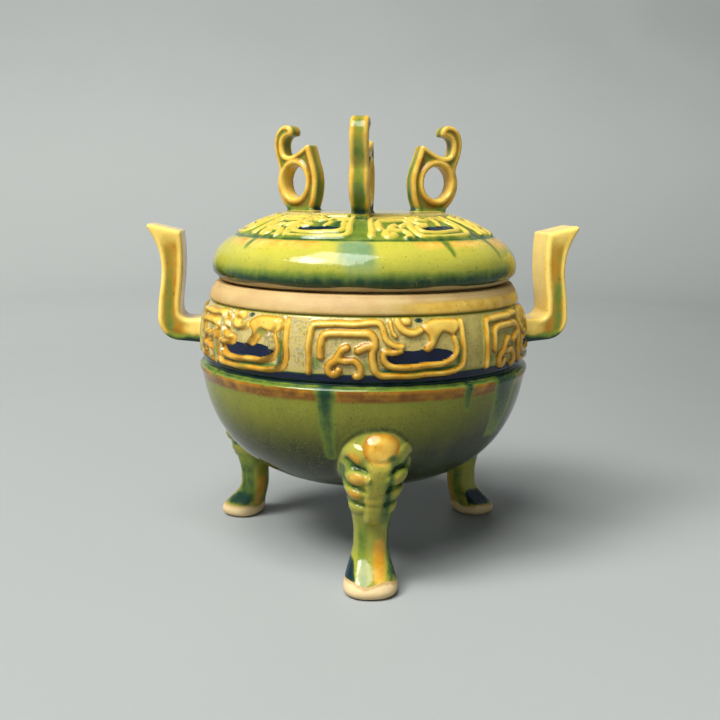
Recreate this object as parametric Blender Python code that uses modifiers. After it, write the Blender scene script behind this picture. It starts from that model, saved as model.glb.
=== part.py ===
"""Tripod incense burner of glazed earthenware: a round bowl on three mask legs, with two upright
ears and a lift-off domed lid that carries three pierced scroll knobs.

Metres, +Z up. The floor under the feet is z = 0 and the bowl's axis is the Z axis. The ears lie
along X and the front leg along -Y.
"""

import math

import bmesh
import bpy
from mathutils import Matrix, Vector

COLLECTION_NAME = "tripod incense burner"

# Bowl: heights are above the floor
SEGMENTS = 30
CAVITY_SEGMENTS = 20
RIM_HEIGHT = 0.1000
RIM_RADIUS = 0.0552
RIM_ROUNDING = 0.0008
RIM_WALL = 0.0048
BAND_RADIUS = 0.0571
BAND_HEIGHT = 0.0063
BAND_BULGE = 0.75
WALL = 0.0045
BELLY_RADIUS = 0.0612
BELLY_CENTRE = 0.0850
BELLY_POWER = 2.7
BOWL_UNDERSIDE = 0.0255
BELLY_STEPS = 6
FLOOR_THICKNESS = 0.0050

# Frieze round the bowl, and the channel and raised fillet below it
FRIEZE_HEIGHT = 0.0202
FRIEZE_FLOOR_RADIUS = 0.0598
FRIEZE_BEND_SHARE = 0.60
FRIEZE_TOP_DRAW = 0.0024
FRIEZE_FOOT_DRAW = 0.0006
FRIEZE_LEDGE = 0.0006
FRIEZE_TURN = math.radians(3.5)
CHANNEL_HEIGHT = 0.0022
CHANNEL_DEPTH = 0.0007
FILLET_HEIGHT = 0.0034
FILLET_PROJECTION = 0.0006

# Relief strokes, on the bowl and on the lid
PANELS = 6
PANEL_PITCH = 2 * math.pi / PANELS
STROKE_RADIUS = 0.0016
STROKE_SINK = 0.0003
STROKE_SINK_STEP = 0.00003
LONGEST_STROKE_SPAN = 0.18
LONGEST_STROKE_RISE = 0.50
PLATE_HEIGHT = 0.0010
PLATE_ROOT = 0.0010

# Legs: reaches are from the bowl's axis
LEGS = 3
FOOT_REACH = 0.0629
FOOT_LENGTH = 0.0164
FOOT_HALF_WIDTH = 0.0092
TOE_HEIGHT = 0.0020
TOE_DROP = 1.3
INSTEP_HEIGHT = 0.0158
ANKLE_REACH = 0.0547
ANKLE_DEPTH = 0.0105
ANKLE_HALF_WIDTH = 0.0052
ANKLE_HEIGHT = 0.0185
KNEE_REACH = 0.0606
KNEE_HALF_WIDTH = 0.0117
KNEE_HEIGHT = 0.0440
KNEE_FRONT_EASE = 0.8
KNEE_CROWN_EASE = 1.4
KNEE_TOP = 0.0552
LEG_ROOT_REACH = 0.0370
LEG_SECTION_POWER = 2.3
LEG_FRONT_STEPS = 10
LEG_BACK_STEPS = 3
FOOT_RINGS = 4
SHANK_RINGS = 1
KNEE_RINGS = 10
TOP_RING_SHARE = 0.98

# Beast mask on each knee: its chin's height, and the carving in shares of the knee's half width
# sideways and of the mask's height upward. Each bump is (side, up, half width, half height, lift).
CHIN_HEIGHT = 0.0240
TRUNK_HALF_WIDTH = 0.34
TRUNK_LIFT = 0.17
TRUNK_TOP = 0.66
TRUNK_EASE = 0.07
MASK_BUMPS = (
    (0.00, 0.79, 0.46, 0.14, 0.17),
    (0.64, 0.66, 0.30, 0.07, -0.15),
    (0.62, 0.53, 0.26, 0.07, 0.14),
    (0.66, 0.43, 0.34, 0.04, -0.08),
    (0.58, 0.34, 0.28, 0.07, 0.10),
)

# Ears
EARS = 2
EAR_WIDTH = 0.0165
EAR_INNER_REACH = 0.0669
EAR_BAR = 0.0080
EAR_STUB_HEIGHT = 0.0092
EAR_STUB_UNDERSIDE = 0.0770
EAR_TOP = 0.1205
EAR_TIP_FLARE = 0.0044
EAR_TOP_FALL = 0.0026
EAR_SWAY = 0.0014
EAR_CORNER = 0.0026
EAR_ELBOW_LIFT = 0.0012
EAR_ELBOW_STEPS = 3
EAR_CORNER_STEPS = 2
EAR_GROOVE_INSET = 0.0022
EAR_GROOVE_DEPTH = 0.0006
EAR_ROOT_DEPTH = 0.0029

# Lid: heights are above the seat, which lies on the bowl's rim
SEAT_GAP = 0.0003
SEAT_HEIGHT = RIM_HEIGHT + SEAT_GAP
LID_EDGE_RADIUS = 0.0536
LID_RADIUS = 0.0553
LID_WIDEST_HEIGHT = 0.0053
LID_SHOULDER_RADIUS = 0.0474
LID_SHOULDER_HEIGHT = 0.0165
LID_SHOULDER_CENTRE = 0.0380
DISC_RADIUS = 0.0312
DISC_FOOT_HEIGHT = 0.0234
DISC_HEIGHT = 0.0014
LID_FRIEZE_CROWN = 0.0007
LID_WALL = 0.0042
LID_DOME_STEPS = 4
LID_CAVITY_STEPS = 3
FLANGE_CLEARANCE = 0.0008
FLANGE_WALL = 0.0032
FLANGE_DEPTH = 0.0050
FLANGE_ROOT = 0.0024
LID_TURN = math.radians(-6.5)

# Scroll knobs on the lid
KNOBS = 3
KNOB_THICKNESS = 0.0064
KNOB_CENTRE_REACH = 0.0298
KNOB_HEIGHT = 0.0321
KNOB_HALF_WIDTH = 0.0106
KNOB_TWIST = math.radians(-5)
KNOB_ROOT = 0.0030
HOLE_REACH = 0.0298
HOLE_HEIGHT = 0.0108
HOLE_HALF_WIDTH = 0.0054
HOLE_HALF_HEIGHT = 0.0060
HOLE_POINTS = 10
RING_WALL = 0.0022
RING_LIFT = 0.0007

CUT_MARGIN = 0.0050
TURN_MERGE = 0.00005
WELD_DISTANCE = 0.000001

# One panel of the relief as strokes: each point is a share of the panel's pitch and height
STROKES = (
    ((0.080, 0.07), (0.092, 0.92), (0.450, 0.95), (0.515, 0.65), (0.590, 0.59)),
    ((0.144, 0.31), (0.150, 0.78), (0.400, 0.78), (0.412, 0.09), (0.925, 0.12), (0.932, 0.90)),
    ((0.585, 0.545), (0.500, 0.50), (0.474, 0.38), (0.505, 0.25), (0.810, 0.26), (0.862, 0.38),
     (0.868, 0.60)),
    ((0.215, 0.25), (0.175, 0.20), (0.185, 0.09), (0.235, 0.10), (0.258, 0.28), (0.285, 0.50)),
    ((0.551, 0.96), (0.563, 0.79), (0.620, 0.70), (0.670, 0.86)),
)
PLATE = (
    (0.690, 0.74), (0.700, 0.93), (0.760, 0.96), (0.900, 0.95), (0.895, 0.72), (0.840, 0.66),
    (0.790, 0.76), (0.745, 0.70),
)


def clear_scene():
    for obj in list(bpy.data.objects):
        bpy.data.objects.remove(obj, do_unlink=True)


def new_collection(name, hidden=False):
    collection = bpy.data.collections.new(name)
    bpy.context.scene.collection.children.link(collection)
    collection.hide_render = hidden
    return collection


def glaze(name, color, roughness):
    """Principled material of one glazed or bare earthenware surface."""
    material = bpy.data.materials.new(name)
    material.use_nodes = True
    shader = material.node_tree.nodes["Principled BSDF"]
    shader.inputs["Base Color"].default_value = (*color, 1.0)
    shader.inputs["Roughness"].default_value = roughness
    shader.inputs["Metallic"].default_value = 0.0
    return material


def add_object(name, mesh, collection):
    obj = bpy.data.objects.new(name, mesh)
    collection.objects.link(obj)
    return obj


def as_helper(obj):
    obj.hide_render = True
    obj.display_type = "WIRE"
    return obj


def turned(name, profile, collection, steps=SEGMENTS):
    """A solid of revolution: the profile of (radius, height) pairs runs from the top of the axis
    down the outer side to its foot."""
    mesh = bpy.data.meshes.new(name)
    points = [(radius, 0.0, height) for radius, height in profile]
    edges = [(i, i + 1) for i in range(len(points) - 1)]
    mesh.from_pydata(points, edges, [])
    obj = add_object(name, mesh, collection)
    screw = obj.modifiers.new("turn", "SCREW")
    screw.steps = steps
    screw.render_steps = steps
    screw.use_merge_vertices = True
    screw.merge_threshold = TURN_MERGE
    screw.use_smooth_shade = True
    return obj


def join(target, name, operand, operation="UNION"):
    """Joins an object, or all of a collection, to the target or cuts it out. The relief's strokes
    cross at many places, which only this solver joins into one closed surface."""
    modifier = target.modifiers.new(name, "BOOLEAN")
    modifier.operation = operation
    modifier.solver = "MANIFOLD"
    if isinstance(operand, bpy.types.Collection):
        modifier.operand_type = "COLLECTION"
        modifier.collection = operand
    else:
        modifier.object = operand


def mesh_of_curve(curve_object, collection):
    """The curve as a welded mesh object in the same place; the curve is removed."""
    graph = bpy.context.evaluated_depsgraph_get()
    mesh = bpy.data.meshes.new_from_object(curve_object.evaluated_get(graph))
    shape = bmesh.new()
    shape.from_mesh(mesh)
    bmesh.ops.remove_doubles(shape, verts=shape.verts, dist=WELD_DISTANCE)
    bmesh.ops.recalc_face_normals(shape, faces=shape.faces)
    shape.to_mesh(mesh)
    shape.free()
    name = curve_object.name
    matrix = curve_object.matrix_world.copy()
    bpy.data.objects.remove(curve_object, do_unlink=True)
    obj = add_object(name, mesh, collection)
    obj.matrix_world = matrix
    return obj


def plate(name, outlines, thickness, collection):
    """Flat plate in the XY plane, centred on z = 0; outlines after the first are holes."""
    curve = bpy.data.curves.new(name, "CURVE")
    curve.dimensions = "2D"
    curve.fill_mode = "BOTH"
    curve.extrude = thickness / 2
    for outline in outlines:
        spline = curve.splines.new("POLY")
        spline.points.add(len(outline) - 1)
        for point, (x, y) in zip(spline.points, outline):
            point.co = (x, y, 0.0, 1.0)
        spline.use_cyclic_u = True
    obj = add_object(name, curve, collection)
    bpy.context.view_layer.update()
    return mesh_of_curve(obj, collection)


def stand_in_radial_plane(obj, azimuth, height, reach=0.0, twist=0.0):
    """Turns a flat plate upright: its x runs outward from the axis at the azimuth, its y up. The
    twist turns it about the upright line at a reach."""
    upright = Matrix.Rotation(math.pi / 2, 4, "X")
    turn = Matrix.Rotation(azimuth - math.pi / 2, 4, "Z")
    out = Matrix.Translation((reach, 0.0, 0.0))
    twisted = out @ Matrix.Rotation(twist, 4, "Z") @ out.inverted()
    obj.matrix_world = Matrix.Translation((0.0, 0.0, height)) @ turn @ twisted @ upright


def belly_radius(height):
    drop = max(0.0, BELLY_CENTRE - height) / (BELLY_CENTRE - BOWL_UNDERSIDE)
    return BELLY_RADIUS * max(0.0, 1 - drop**BELLY_POWER) ** (1 / BELLY_POWER)


def belly_points(top, steps, inset):
    """Points down the belly from a height to the axis, with the radius reduced by the inset."""
    start = math.asin(((BELLY_CENTRE - top) / (BELLY_CENTRE - BOWL_UNDERSIDE)) ** (BELLY_POWER / 2))
    points = []
    for step in range(steps):
        angle = start + (math.pi / 2 - start) * step / steps
        depth = (BELLY_CENTRE - BOWL_UNDERSIDE) * math.sin(angle) ** (2 / BELLY_POWER)
        radius = BELLY_RADIUS * math.cos(angle) ** (2 / BELLY_POWER)
        points.append((radius - inset, BELLY_CENTRE - depth))
    return points


BAND_FOOT = RIM_HEIGHT - BAND_HEIGHT
FRIEZE_TOP = BAND_FOOT - FRIEZE_LEDGE
FRIEZE_FOOT = FRIEZE_TOP - FRIEZE_HEIGHT
FILLET_TOP = FRIEZE_FOOT - CHANNEL_HEIGHT
FILLET_FOOT = FILLET_TOP - FILLET_HEIGHT
MOUTH_RADIUS = RIM_RADIUS - RIM_WALL


def frieze_radius(share):
    """Radius of the bowl's relief ground at a share of its height: it draws in above its bend."""
    above = max(0.0, (share - FRIEZE_BEND_SHARE) / (1 - FRIEZE_BEND_SHARE))
    below = max(0.0, 1 - share / FRIEZE_BEND_SHARE)
    return FRIEZE_FLOOR_RADIUS - FRIEZE_TOP_DRAW * above - FRIEZE_FOOT_DRAW * below


def bowl_profile():
    fillet_radius = belly_radius(FILLET_TOP) + FILLET_PROJECTION
    profile = [
        (0.0, RIM_HEIGHT),
        (RIM_RADIUS - RIM_ROUNDING, RIM_HEIGHT),
        (RIM_RADIUS, RIM_HEIGHT - RIM_ROUNDING),
        (RIM_RADIUS + (BAND_RADIUS - RIM_RADIUS) * BAND_BULGE, RIM_HEIGHT - BAND_HEIGHT / 2),
        (BAND_RADIUS, BAND_FOOT),
        (frieze_radius(1.0), FRIEZE_TOP),
        (FRIEZE_FLOOR_RADIUS, FRIEZE_FOOT + FRIEZE_HEIGHT * FRIEZE_BEND_SHARE),
        (frieze_radius(0.0), FRIEZE_FOOT),
        (frieze_radius(0.0) - CHANNEL_DEPTH, FRIEZE_FOOT - CHANNEL_HEIGHT / 2),
        (fillet_radius, FILLET_TOP),
        (fillet_radius, FILLET_FOOT + FILLET_HEIGHT / 4),
    ]
    profile += belly_points(FILLET_FOOT, BELLY_STEPS, 0.0)
    profile.append((0.0, BOWL_UNDERSIDE))
    return profile


def cavity_profile():
    top = RIM_HEIGHT + CUT_MARGIN
    profile = [
        (0.0, top),
        (MOUTH_RADIUS + RIM_ROUNDING, top),
        (MOUTH_RADIUS + RIM_ROUNDING, RIM_HEIGHT),
        (MOUTH_RADIUS, RIM_HEIGHT - RIM_ROUNDING),
        (MOUTH_RADIUS, BAND_FOOT),
        (BAND_RADIUS - WALL, FRIEZE_TOP - WALL / 2),
        (FRIEZE_FLOOR_RADIUS - WALL, FRIEZE_TOP - FRIEZE_HEIGHT / 2),
        (frieze_radius(0.0) - CHANNEL_DEPTH - WALL, FRIEZE_FOOT),
    ]
    for radius, height in belly_points(FILLET_FOOT, BELLY_STEPS, WALL)[1:]:
        rise = FLOOR_THICKNESS * (BELLY_CENTRE - height) / (BELLY_CENTRE - BOWL_UNDERSIDE)
        profile.append((radius, height + rise))
    profile.append((0.0, BOWL_UNDERSIDE + FLOOR_THICKNESS))
    return profile


def lid_frieze_height(radius):
    """Height of the lid's relief ground at a radius, above the seat."""
    share = (LID_SHOULDER_RADIUS - radius) / (LID_SHOULDER_RADIUS - DISC_RADIUS)
    rise = DISC_FOOT_HEIGHT - LID_SHOULDER_HEIGHT
    return LID_SHOULDER_HEIGHT + rise * share + 4 * LID_FRIEZE_CROWN * share * (1 - share)


def lid_dome(steps, inset):
    """Points of the lid's side from its shoulder down to its widest ring, inset by a wall."""
    across = LID_RADIUS - LID_SHOULDER_CENTRE
    start = math.acos((LID_SHOULDER_RADIUS - LID_SHOULDER_CENTRE) / across)
    tall = (LID_SHOULDER_HEIGHT - LID_WIDEST_HEIGHT) / math.sin(start)
    points = []
    for step in range(steps + 1):
        angle = start * (1 - step / steps)
        radius = LID_SHOULDER_CENTRE + (across - inset) * math.cos(angle)
        points.append((radius, LID_WIDEST_HEIGHT + (tall - inset) * math.sin(angle)))
    return points


def lid_profile():
    mid_radius = (LID_SHOULDER_RADIUS + DISC_RADIUS) / 2
    disc_top = DISC_FOOT_HEIGHT + DISC_HEIGHT
    profile = [
        (0.0, disc_top),
        (DISC_RADIUS - DISC_HEIGHT, disc_top),
        (DISC_RADIUS, DISC_FOOT_HEIGHT),
        (mid_radius, lid_frieze_height(mid_radius)),
    ]
    profile += lid_dome(LID_DOME_STEPS, 0.0)
    flange_outer = MOUTH_RADIUS - FLANGE_CLEARANCE
    profile += [
        ((LID_EDGE_RADIUS + LID_RADIUS) / 2, LID_WIDEST_HEIGHT / 4),
        (LID_EDGE_RADIUS, 0.0),
        (flange_outer, 0.0),
        (flange_outer, -FLANGE_DEPTH),
        (0.0, -FLANGE_DEPTH),
    ]
    return [(radius, SEAT_HEIGHT + height) for radius, height in profile]


def lid_cavity_profile():
    """The hollow under the lid: it opens out above the flange that sits in the bowl's mouth."""
    flange_inner = MOUTH_RADIUS - FLANGE_CLEARANCE - FLANGE_WALL
    ceiling = DISC_FOOT_HEIGHT + DISC_HEIGHT - LID_WALL
    bottom = -FLANGE_DEPTH - CUT_MARGIN
    profile = [(0.0, ceiling), (DISC_RADIUS - LID_WALL, ceiling)]
    profile += lid_dome(LID_CAVITY_STEPS, LID_WALL)
    profile += [(flange_inner, FLANGE_ROOT), (flange_inner, bottom), (0.0, bottom)]
    return [(radius, SEAT_HEIGHT + height) for radius, height in profile]


def on_bowl(azimuth, share, lift):
    """A point of the bowl's frieze: azimuth, share of the height, lift off the ground."""
    radius = frieze_radius(share) + lift
    height = FRIEZE_FOOT + FRIEZE_HEIGHT * share
    return Vector((radius * math.sin(azimuth), -radius * math.cos(azimuth), height))


def on_lid(azimuth, share, lift):
    """A point of the lid's frieze: azimuth, share of the way in from the shoulder, lift."""
    radius = LID_SHOULDER_RADIUS + (DISC_RADIUS - LID_SHOULDER_RADIUS) * share
    slope = math.atan2(DISC_FOOT_HEIGHT - LID_SHOULDER_HEIGHT, LID_SHOULDER_RADIUS - DISC_RADIUS)
    height = SEAT_HEIGHT + lid_frieze_height(radius) + lift * math.cos(slope)
    radius += lift * math.sin(slope)
    return Vector((radius * math.sin(azimuth), -radius * math.cos(azimuth), height))


def spaced_points(points, longest_rise):
    """The stroke's points, with more between two that lie far apart round the bowl or up it."""
    spaced = [points[0]]
    for (u, v), (after_u, after_v) in zip(points, points[1:]):
        lengths = abs(after_u - u) / LONGEST_STROKE_SPAN, abs(after_v - v) / longest_rise
        pieces = math.ceil(max(lengths))
        for piece in range(1, pieces):
            share = piece / pieces
            spaced.append((u + (after_u - u) * share, v + (after_v - v) * share))
        spaced.append((after_u, after_v))
    return spaced


def flat_stroke(name, points, width, height, sink, collection):
    """A ridge of four sides along points of the flat panel, one edge of it up."""
    curve = bpy.data.curves.new(name, "CURVE")
    curve.dimensions = "3D"
    curve.twist_mode = "MINIMUM"
    curve.bevel_depth = STROKE_RADIUS
    curve.bevel_resolution = 0
    curve.use_fill_caps = True
    spline = curve.splines.new("POLY")
    spline.points.add(len(points) - 1)
    for point, (u, v) in zip(spline.points, points):
        point.co = (u * width, v * height, -sink, 1.0)
    obj = add_object(name, curve, collection)
    bpy.context.view_layer.update()
    return mesh_of_curve(obj, collection)


def wrapped_panel(label, place, width, height, turn, longest_rise, collection):
    """The strokes and the plate of each panel, bent onto the surface that place() describes."""
    flat = []
    for index, points in enumerate(STROKES):
        name = f"{label}_stroke_{index}"
        sink = STROKE_SINK + STROKE_SINK_STEP * index
        line = spaced_points(points, longest_rise)
        flat.append(flat_stroke(name, line, width, height, sink, collection))
    outline = [(u * width, v * height) for u, v in PLATE]
    body = plate(f"{label}_plate", [outline], PLATE_HEIGHT + PLATE_ROOT, collection)
    body.data.transform(Matrix.Translation((0.0, 0.0, (PLATE_HEIGHT - PLATE_ROOT) / 2)))
    flat.append(body)
    for panel in range(PANELS):
        start = turn + (panel - 0.5) * PANEL_PITCH
        for shape in flat:
            mesh = shape.data.copy()
            for vertex in mesh.vertices:
                u = vertex.co.x / width
                v = vertex.co.y / height
                vertex.co = place(start + u * PANEL_PITCH, v, vertex.co.z)
            copy = add_object(f"{shape.name}_{panel}", mesh, collection)
            as_helper(copy)
    for shape in flat:
        bpy.data.objects.remove(shape, do_unlink=True)


def smooth_step(low, high, value):
    share = min(1.0, max(0.0, (value - low) / (high - low)))
    return share * share * (3 - 2 * share)


def leg_section(height):
    """Front reach, back reach and half width of a leg at a height."""
    ankle_back = ANKLE_REACH - ANKLE_DEPTH
    if height <= ANKLE_HEIGHT:
        foot = 1 - smooth_step(TOE_HEIGHT, INSTEP_HEIGHT, height)
        front = ANKLE_REACH + (FOOT_REACH - ANKLE_REACH) * foot**TOE_DROP
        back = ankle_back + (FOOT_REACH - FOOT_LENGTH - ankle_back) * foot
        half = ANKLE_HALF_WIDTH + (FOOT_HALF_WIDTH - ANKLE_HALF_WIDTH) * foot
        return front, back, half
    share = smooth_step(ANKLE_HEIGHT, KNEE_HEIGHT, height)
    back = ankle_back + (LEG_ROOT_REACH - ankle_back) * share
    front = ANKLE_REACH + (KNEE_REACH - ANKLE_REACH) * share**KNEE_FRONT_EASE
    half = ANKLE_HALF_WIDTH + (KNEE_HALF_WIDTH - ANKLE_HALF_WIDTH) * share
    if height > KNEE_HEIGHT:
        rise = (height - KNEE_HEIGHT) / (KNEE_TOP - KNEE_HEIGHT)
        crown = math.sqrt(max(0.0, 1 - rise * rise))
        shoulder = belly_radius(KNEE_TOP)
        front = shoulder + (KNEE_REACH - shoulder) * crown
        half = KNEE_HALF_WIDTH * crown**KNEE_CROWN_EASE
    return front, back, half


def mask_lift(side, up):
    """Relief of the mask as a share of the knee's half width: side is 0 at its middle and 1 at the
    knee's edge, up is 0 at its chin and 1 on top."""
    shown = smooth_step(-TRUNK_EASE, TRUNK_EASE, up)
    shown *= 1 - smooth_step(TRUNK_TOP - TRUNK_EASE, TRUNK_TOP + TRUNK_EASE, up)
    lift = TRUNK_LIFT * math.exp(-((side / TRUNK_HALF_WIDTH) ** 4)) * shown
    for centre_side, centre_up, half_width, half_height, rise in MASK_BUMPS:
        x = (side - centre_side) / half_width
        z = (up - centre_up) / half_height
        lift += rise * math.exp(-(x * x + z * z))
    return lift


def leg_ring(height):
    """One level section of a leg that reaches out along +X, as points round it."""
    front, back, half = leg_section(height)
    centre = (front + back) / 2
    depth = (front - back) / 2
    up = (height - CHIN_HEIGHT) / (KNEE_TOP - CHIN_HEIGHT)
    angles = [math.pi * (step / LEG_FRONT_STEPS - 0.5) for step in range(LEG_FRONT_STEPS)]
    angles += [math.pi * (step / LEG_BACK_STEPS + 0.5) for step in range(LEG_BACK_STEPS)]
    ring = []
    for angle in angles:
        across = math.sin(angle)
        out = (1 - abs(across) ** LEG_SECTION_POWER) ** (1 / LEG_SECTION_POWER)
        lift = 0.0
        if math.cos(angle) > 0:
            lift = out * KNEE_HALF_WIDTH * mask_lift(abs(across) * half / KNEE_HALF_WIDTH, up)
        ring.append((centre + math.copysign(depth * out, math.cos(angle)) + lift, half * across, height))
    return ring


def leg_mesh(name):
    """A leg as a loft of level sections, from its sole to the crown of its knee."""
    heights = [ANKLE_HEIGHT * step / FOOT_RINGS for step in range(FOOT_RINGS)]
    heights += [
        ANKLE_HEIGHT + (CHIN_HEIGHT - ANKLE_HEIGHT) * step / SHANK_RINGS
        for step in range(SHANK_RINGS)
    ]
    crown = KNEE_HEIGHT + (KNEE_TOP - KNEE_HEIGHT) * TOP_RING_SHARE
    heights += [
        CHIN_HEIGHT + (crown - CHIN_HEIGHT) * step / KNEE_RINGS for step in range(KNEE_RINGS + 1)
    ]
    shape = bmesh.new()
    rings = [[shape.verts.new(point) for point in leg_ring(height)] for height in heights]
    count = len(rings[0])
    for lower, upper in zip(rings, rings[1:]):
        for point in range(count):
            after = (point + 1) % count
            shape.faces.new((lower[point], lower[after], upper[after], upper[point]))
    shape.faces.new(tuple(reversed(rings[0])))
    shape.faces.new(tuple(rings[-1]))
    bmesh.ops.recalc_face_normals(shape, faces=shape.faces)
    mesh = bpy.data.meshes.new(name)
    shape.to_mesh(mesh)
    shape.free()
    return mesh


def arc(centre, radii, start, end, steps):
    """Points of an elliptic arc, both ends included, angles in degrees."""
    points = []
    for step in range(steps + 1):
        angle = math.radians(start + (end - start) * step / steps)
        points.append((centre[0] + radii[0] * math.cos(angle), centre[1] + radii[1] * math.sin(angle)))
    return points


def ear_outline(inset=0.0):
    """Side view of an ear: x is the distance from the axis, y the height above the floor. Its root
    lies inside the wall, and its bends are shares of its sway, its flare and its rise."""
    root = FRIEZE_FLOOR_RADIUS - EAR_ROOT_DEPTH
    inner = EAR_INNER_REACH + inset
    outer = EAR_INNER_REACH + EAR_BAR - inset
    underside = EAR_STUB_UNDERSIDE + inset
    stub_top = EAR_STUB_UNDERSIDE + EAR_STUB_HEIGHT - inset
    elbow = EAR_BAR - inset
    rise = EAR_TOP - stub_top
    points = [(root, underside)]
    elbow_centre = (outer + EAR_SWAY - elbow, underside + EAR_ELBOW_LIFT + elbow)
    points += arc(elbow_centre, (elbow, elbow), -90, 0, EAR_ELBOW_STEPS)
    points += [
        (outer + EAR_SWAY * 0.6, stub_top + rise * 0.28),
        (outer, stub_top + rise * 0.52),
        (outer + EAR_TIP_FLARE * 0.30, stub_top + rise * 0.76),
        (outer + EAR_TIP_FLARE, EAR_TOP - inset * 1.5),
        (inner, EAR_TOP - EAR_TOP_FALL - inset),
        (inner, stub_top + rise * 0.50),
        (inner + EAR_SWAY * 0.8, stub_top + rise * 0.16),
    ]
    corner = (inner + EAR_SWAY - EAR_CORNER, stub_top + EAR_CORNER)
    points += arc(corner, (EAR_CORNER, EAR_CORNER), 0, -90, EAR_CORNER_STEPS)
    points.append((root, stub_top))
    return points


def knob_outline():
    """Side view of a scroll knob, as shares of its half width outward from its middle and of its
    height up from the disc: the ring's outer side, the hook curling back over the top, the
    shoulder, and the inner side."""
    return [
        (0.34, -KNOB_ROOT / KNOB_HEIGHT),
        (0.39, 0.02), (0.61, 0.10), (0.79, 0.21), (0.85, 0.32), (0.76, 0.48), (0.84, 0.57),
        (0.95, 0.68), (0.99, 0.80), (0.90, 0.91), (0.71, 0.975), (0.47, 1.00), (0.26, 0.985),
        (0.14, 0.93), (0.17, 0.875), (0.48, 0.845), (0.58, 0.79), (0.58, 0.72), (0.51, 0.66),
        (0.34, 0.64), (0.07, 0.655), (-0.45, 0.75), (-0.61, 0.765), (-0.68, 0.72), (-0.93, 0.48),
        (-1.00, 0.36), (-0.99, 0.25), (-0.93, 0.14), (-0.81, 0.03),
        (-0.79, -KNOB_ROOT / KNOB_HEIGHT),
    ]


def knob_points():
    return [
        (KNOB_CENTRE_REACH + KNOB_HALF_WIDTH * across, KNOB_HEIGHT * up)
        for across, up in knob_outline()
    ]


def ellipse(centre, radii, count):
    return arc(centre, radii, 0, 360 - 360 / count, count - 1)


def add_knob(index, azimuth, knobs, rings, holes):
    """A scroll knob, the raised ring round its hole on both sides, and the hole's cutter."""
    foot = SEAT_HEIGHT + DISC_FOOT_HEIGHT + DISC_HEIGHT
    centre = (HOLE_REACH, HOLE_HEIGHT)
    ring_radii = (HOLE_HALF_WIDTH + RING_WALL, HOLE_HALF_HEIGHT + RING_WALL)
    ring = ellipse(centre, ring_radii, HOLE_POINTS)
    hole = ellipse(centre, (HOLE_HALF_WIDTH, HOLE_HALF_HEIGHT), HOLE_POINTS)
    across = KNOB_THICKNESS + 2 * RING_LIFT
    for label, outline, thickness, collection in (
        ("knob", knob_points(), KNOB_THICKNESS, knobs),
        ("knob_ring", ring, across, rings),
        ("knob_hole", hole, across + 2 * CUT_MARGIN, holes),
    ):
        obj = plate(f"{label}_{index}", [outline], thickness, collection)
        stand_in_radial_plane(obj, azimuth, foot, HOLE_REACH, KNOB_TWIST)
        as_helper(obj)


def add_ear(index, azimuth, collection):
    obj = plate(f"ear_{index}", [ear_outline()], EAR_WIDTH, collection)
    stand_in_radial_plane(obj, azimuth, 0.0)
    return as_helper(obj)


def add_ear_groove(index, azimuth, side, collection):
    """The sunk panel on one face of an ear."""
    obj = plate(f"ear_groove_{index}", [ear_outline(EAR_GROOVE_INSET)], 2 * EAR_GROOVE_DEPTH, collection)
    obj.data.transform(Matrix.Translation((0.0, 0.0, side * EAR_WIDTH / 2)))
    stand_in_radial_plane(obj, azimuth, 0.0)
    return as_helper(obj)


def group(name, helpers):
    collection = bpy.data.collections.new(name)
    helpers.children.link(collection)
    return collection


def make_bowl(parts, helpers):
    bowl = turned("tripod_bowl", bowl_profile(), parts)
    limbs = group("limbs", helpers)
    mesh = leg_mesh("leg")
    for index in range(LEGS):
        leg = add_object(f"leg_{index}", mesh, limbs)
        leg.rotation_euler.z = -math.pi / 2 + index * 2 * math.pi / LEGS
        as_helper(leg)
    grooves = group("ear grooves", helpers)
    for index in range(EARS):
        azimuth = math.pi / 2 + index * 2 * math.pi / EARS
        add_ear(index, azimuth, limbs)
        for side in (-1, 1):
            add_ear_groove(EARS * index + (side + 1) // 2, azimuth, side, grooves)
    relief = group("bowl relief", helpers)
    width = PANEL_PITCH * FRIEZE_FLOOR_RADIUS
    wrapped_panel("bowl", on_bowl, width, FRIEZE_HEIGHT, FRIEZE_TURN, LONGEST_STROKE_RISE, relief)
    cavity = as_helper(turned("bowl_cavity", cavity_profile(), helpers, CAVITY_SEGMENTS))
    join(bowl, "limbs", limbs)
    join(bowl, "relief", relief)
    join(bowl, "ear grooves", grooves, "DIFFERENCE")
    join(bowl, "cavity", cavity, "DIFFERENCE")
    bowl.data.materials.append(glaze("green and amber glaze", (0.20, 0.22, 0.04), 0.18))
    return bowl


def make_lid(parts, helpers):
    lid = turned("lid", lid_profile(), parts)
    knobs = group("knobs", helpers)
    rings = group("knob rings", helpers)
    holes = group("knob holes", helpers)
    for index in range(KNOBS):
        add_knob(index, LID_TURN + index * 2 * math.pi / KNOBS, knobs, rings, holes)
    relief = group("lid relief", helpers)
    mean_radius = (LID_SHOULDER_RADIUS + DISC_RADIUS) / 2
    depth = math.hypot(LID_SHOULDER_RADIUS - DISC_RADIUS, DISC_FOOT_HEIGHT - LID_SHOULDER_HEIGHT)
    turn = LID_TURN + PANEL_PITCH / 2
    wrapped_panel("lid", on_lid, PANEL_PITCH * mean_radius, depth, turn, 1.0, relief)
    cavity = as_helper(turned("lid_cavity", lid_cavity_profile(), helpers, CAVITY_SEGMENTS))
    join(lid, "knobs", knobs)
    join(lid, "knob rings", rings)
    join(lid, "relief", relief)
    join(lid, "knob holes", holes, "DIFFERENCE")
    join(lid, "cavity", cavity, "DIFFERENCE")
    lid.data.materials.append(glaze("yellow green glaze", (0.38, 0.34, 0.06), 0.15))
    return lid


def main():
    clear_scene()
    parts = new_collection(COLLECTION_NAME)
    helpers = new_collection("cutters and joined shapes", hidden=True)
    make_bowl(parts, helpers)
    make_lid(parts, helpers)
    bpy.context.view_layer.update()


main()
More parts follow.
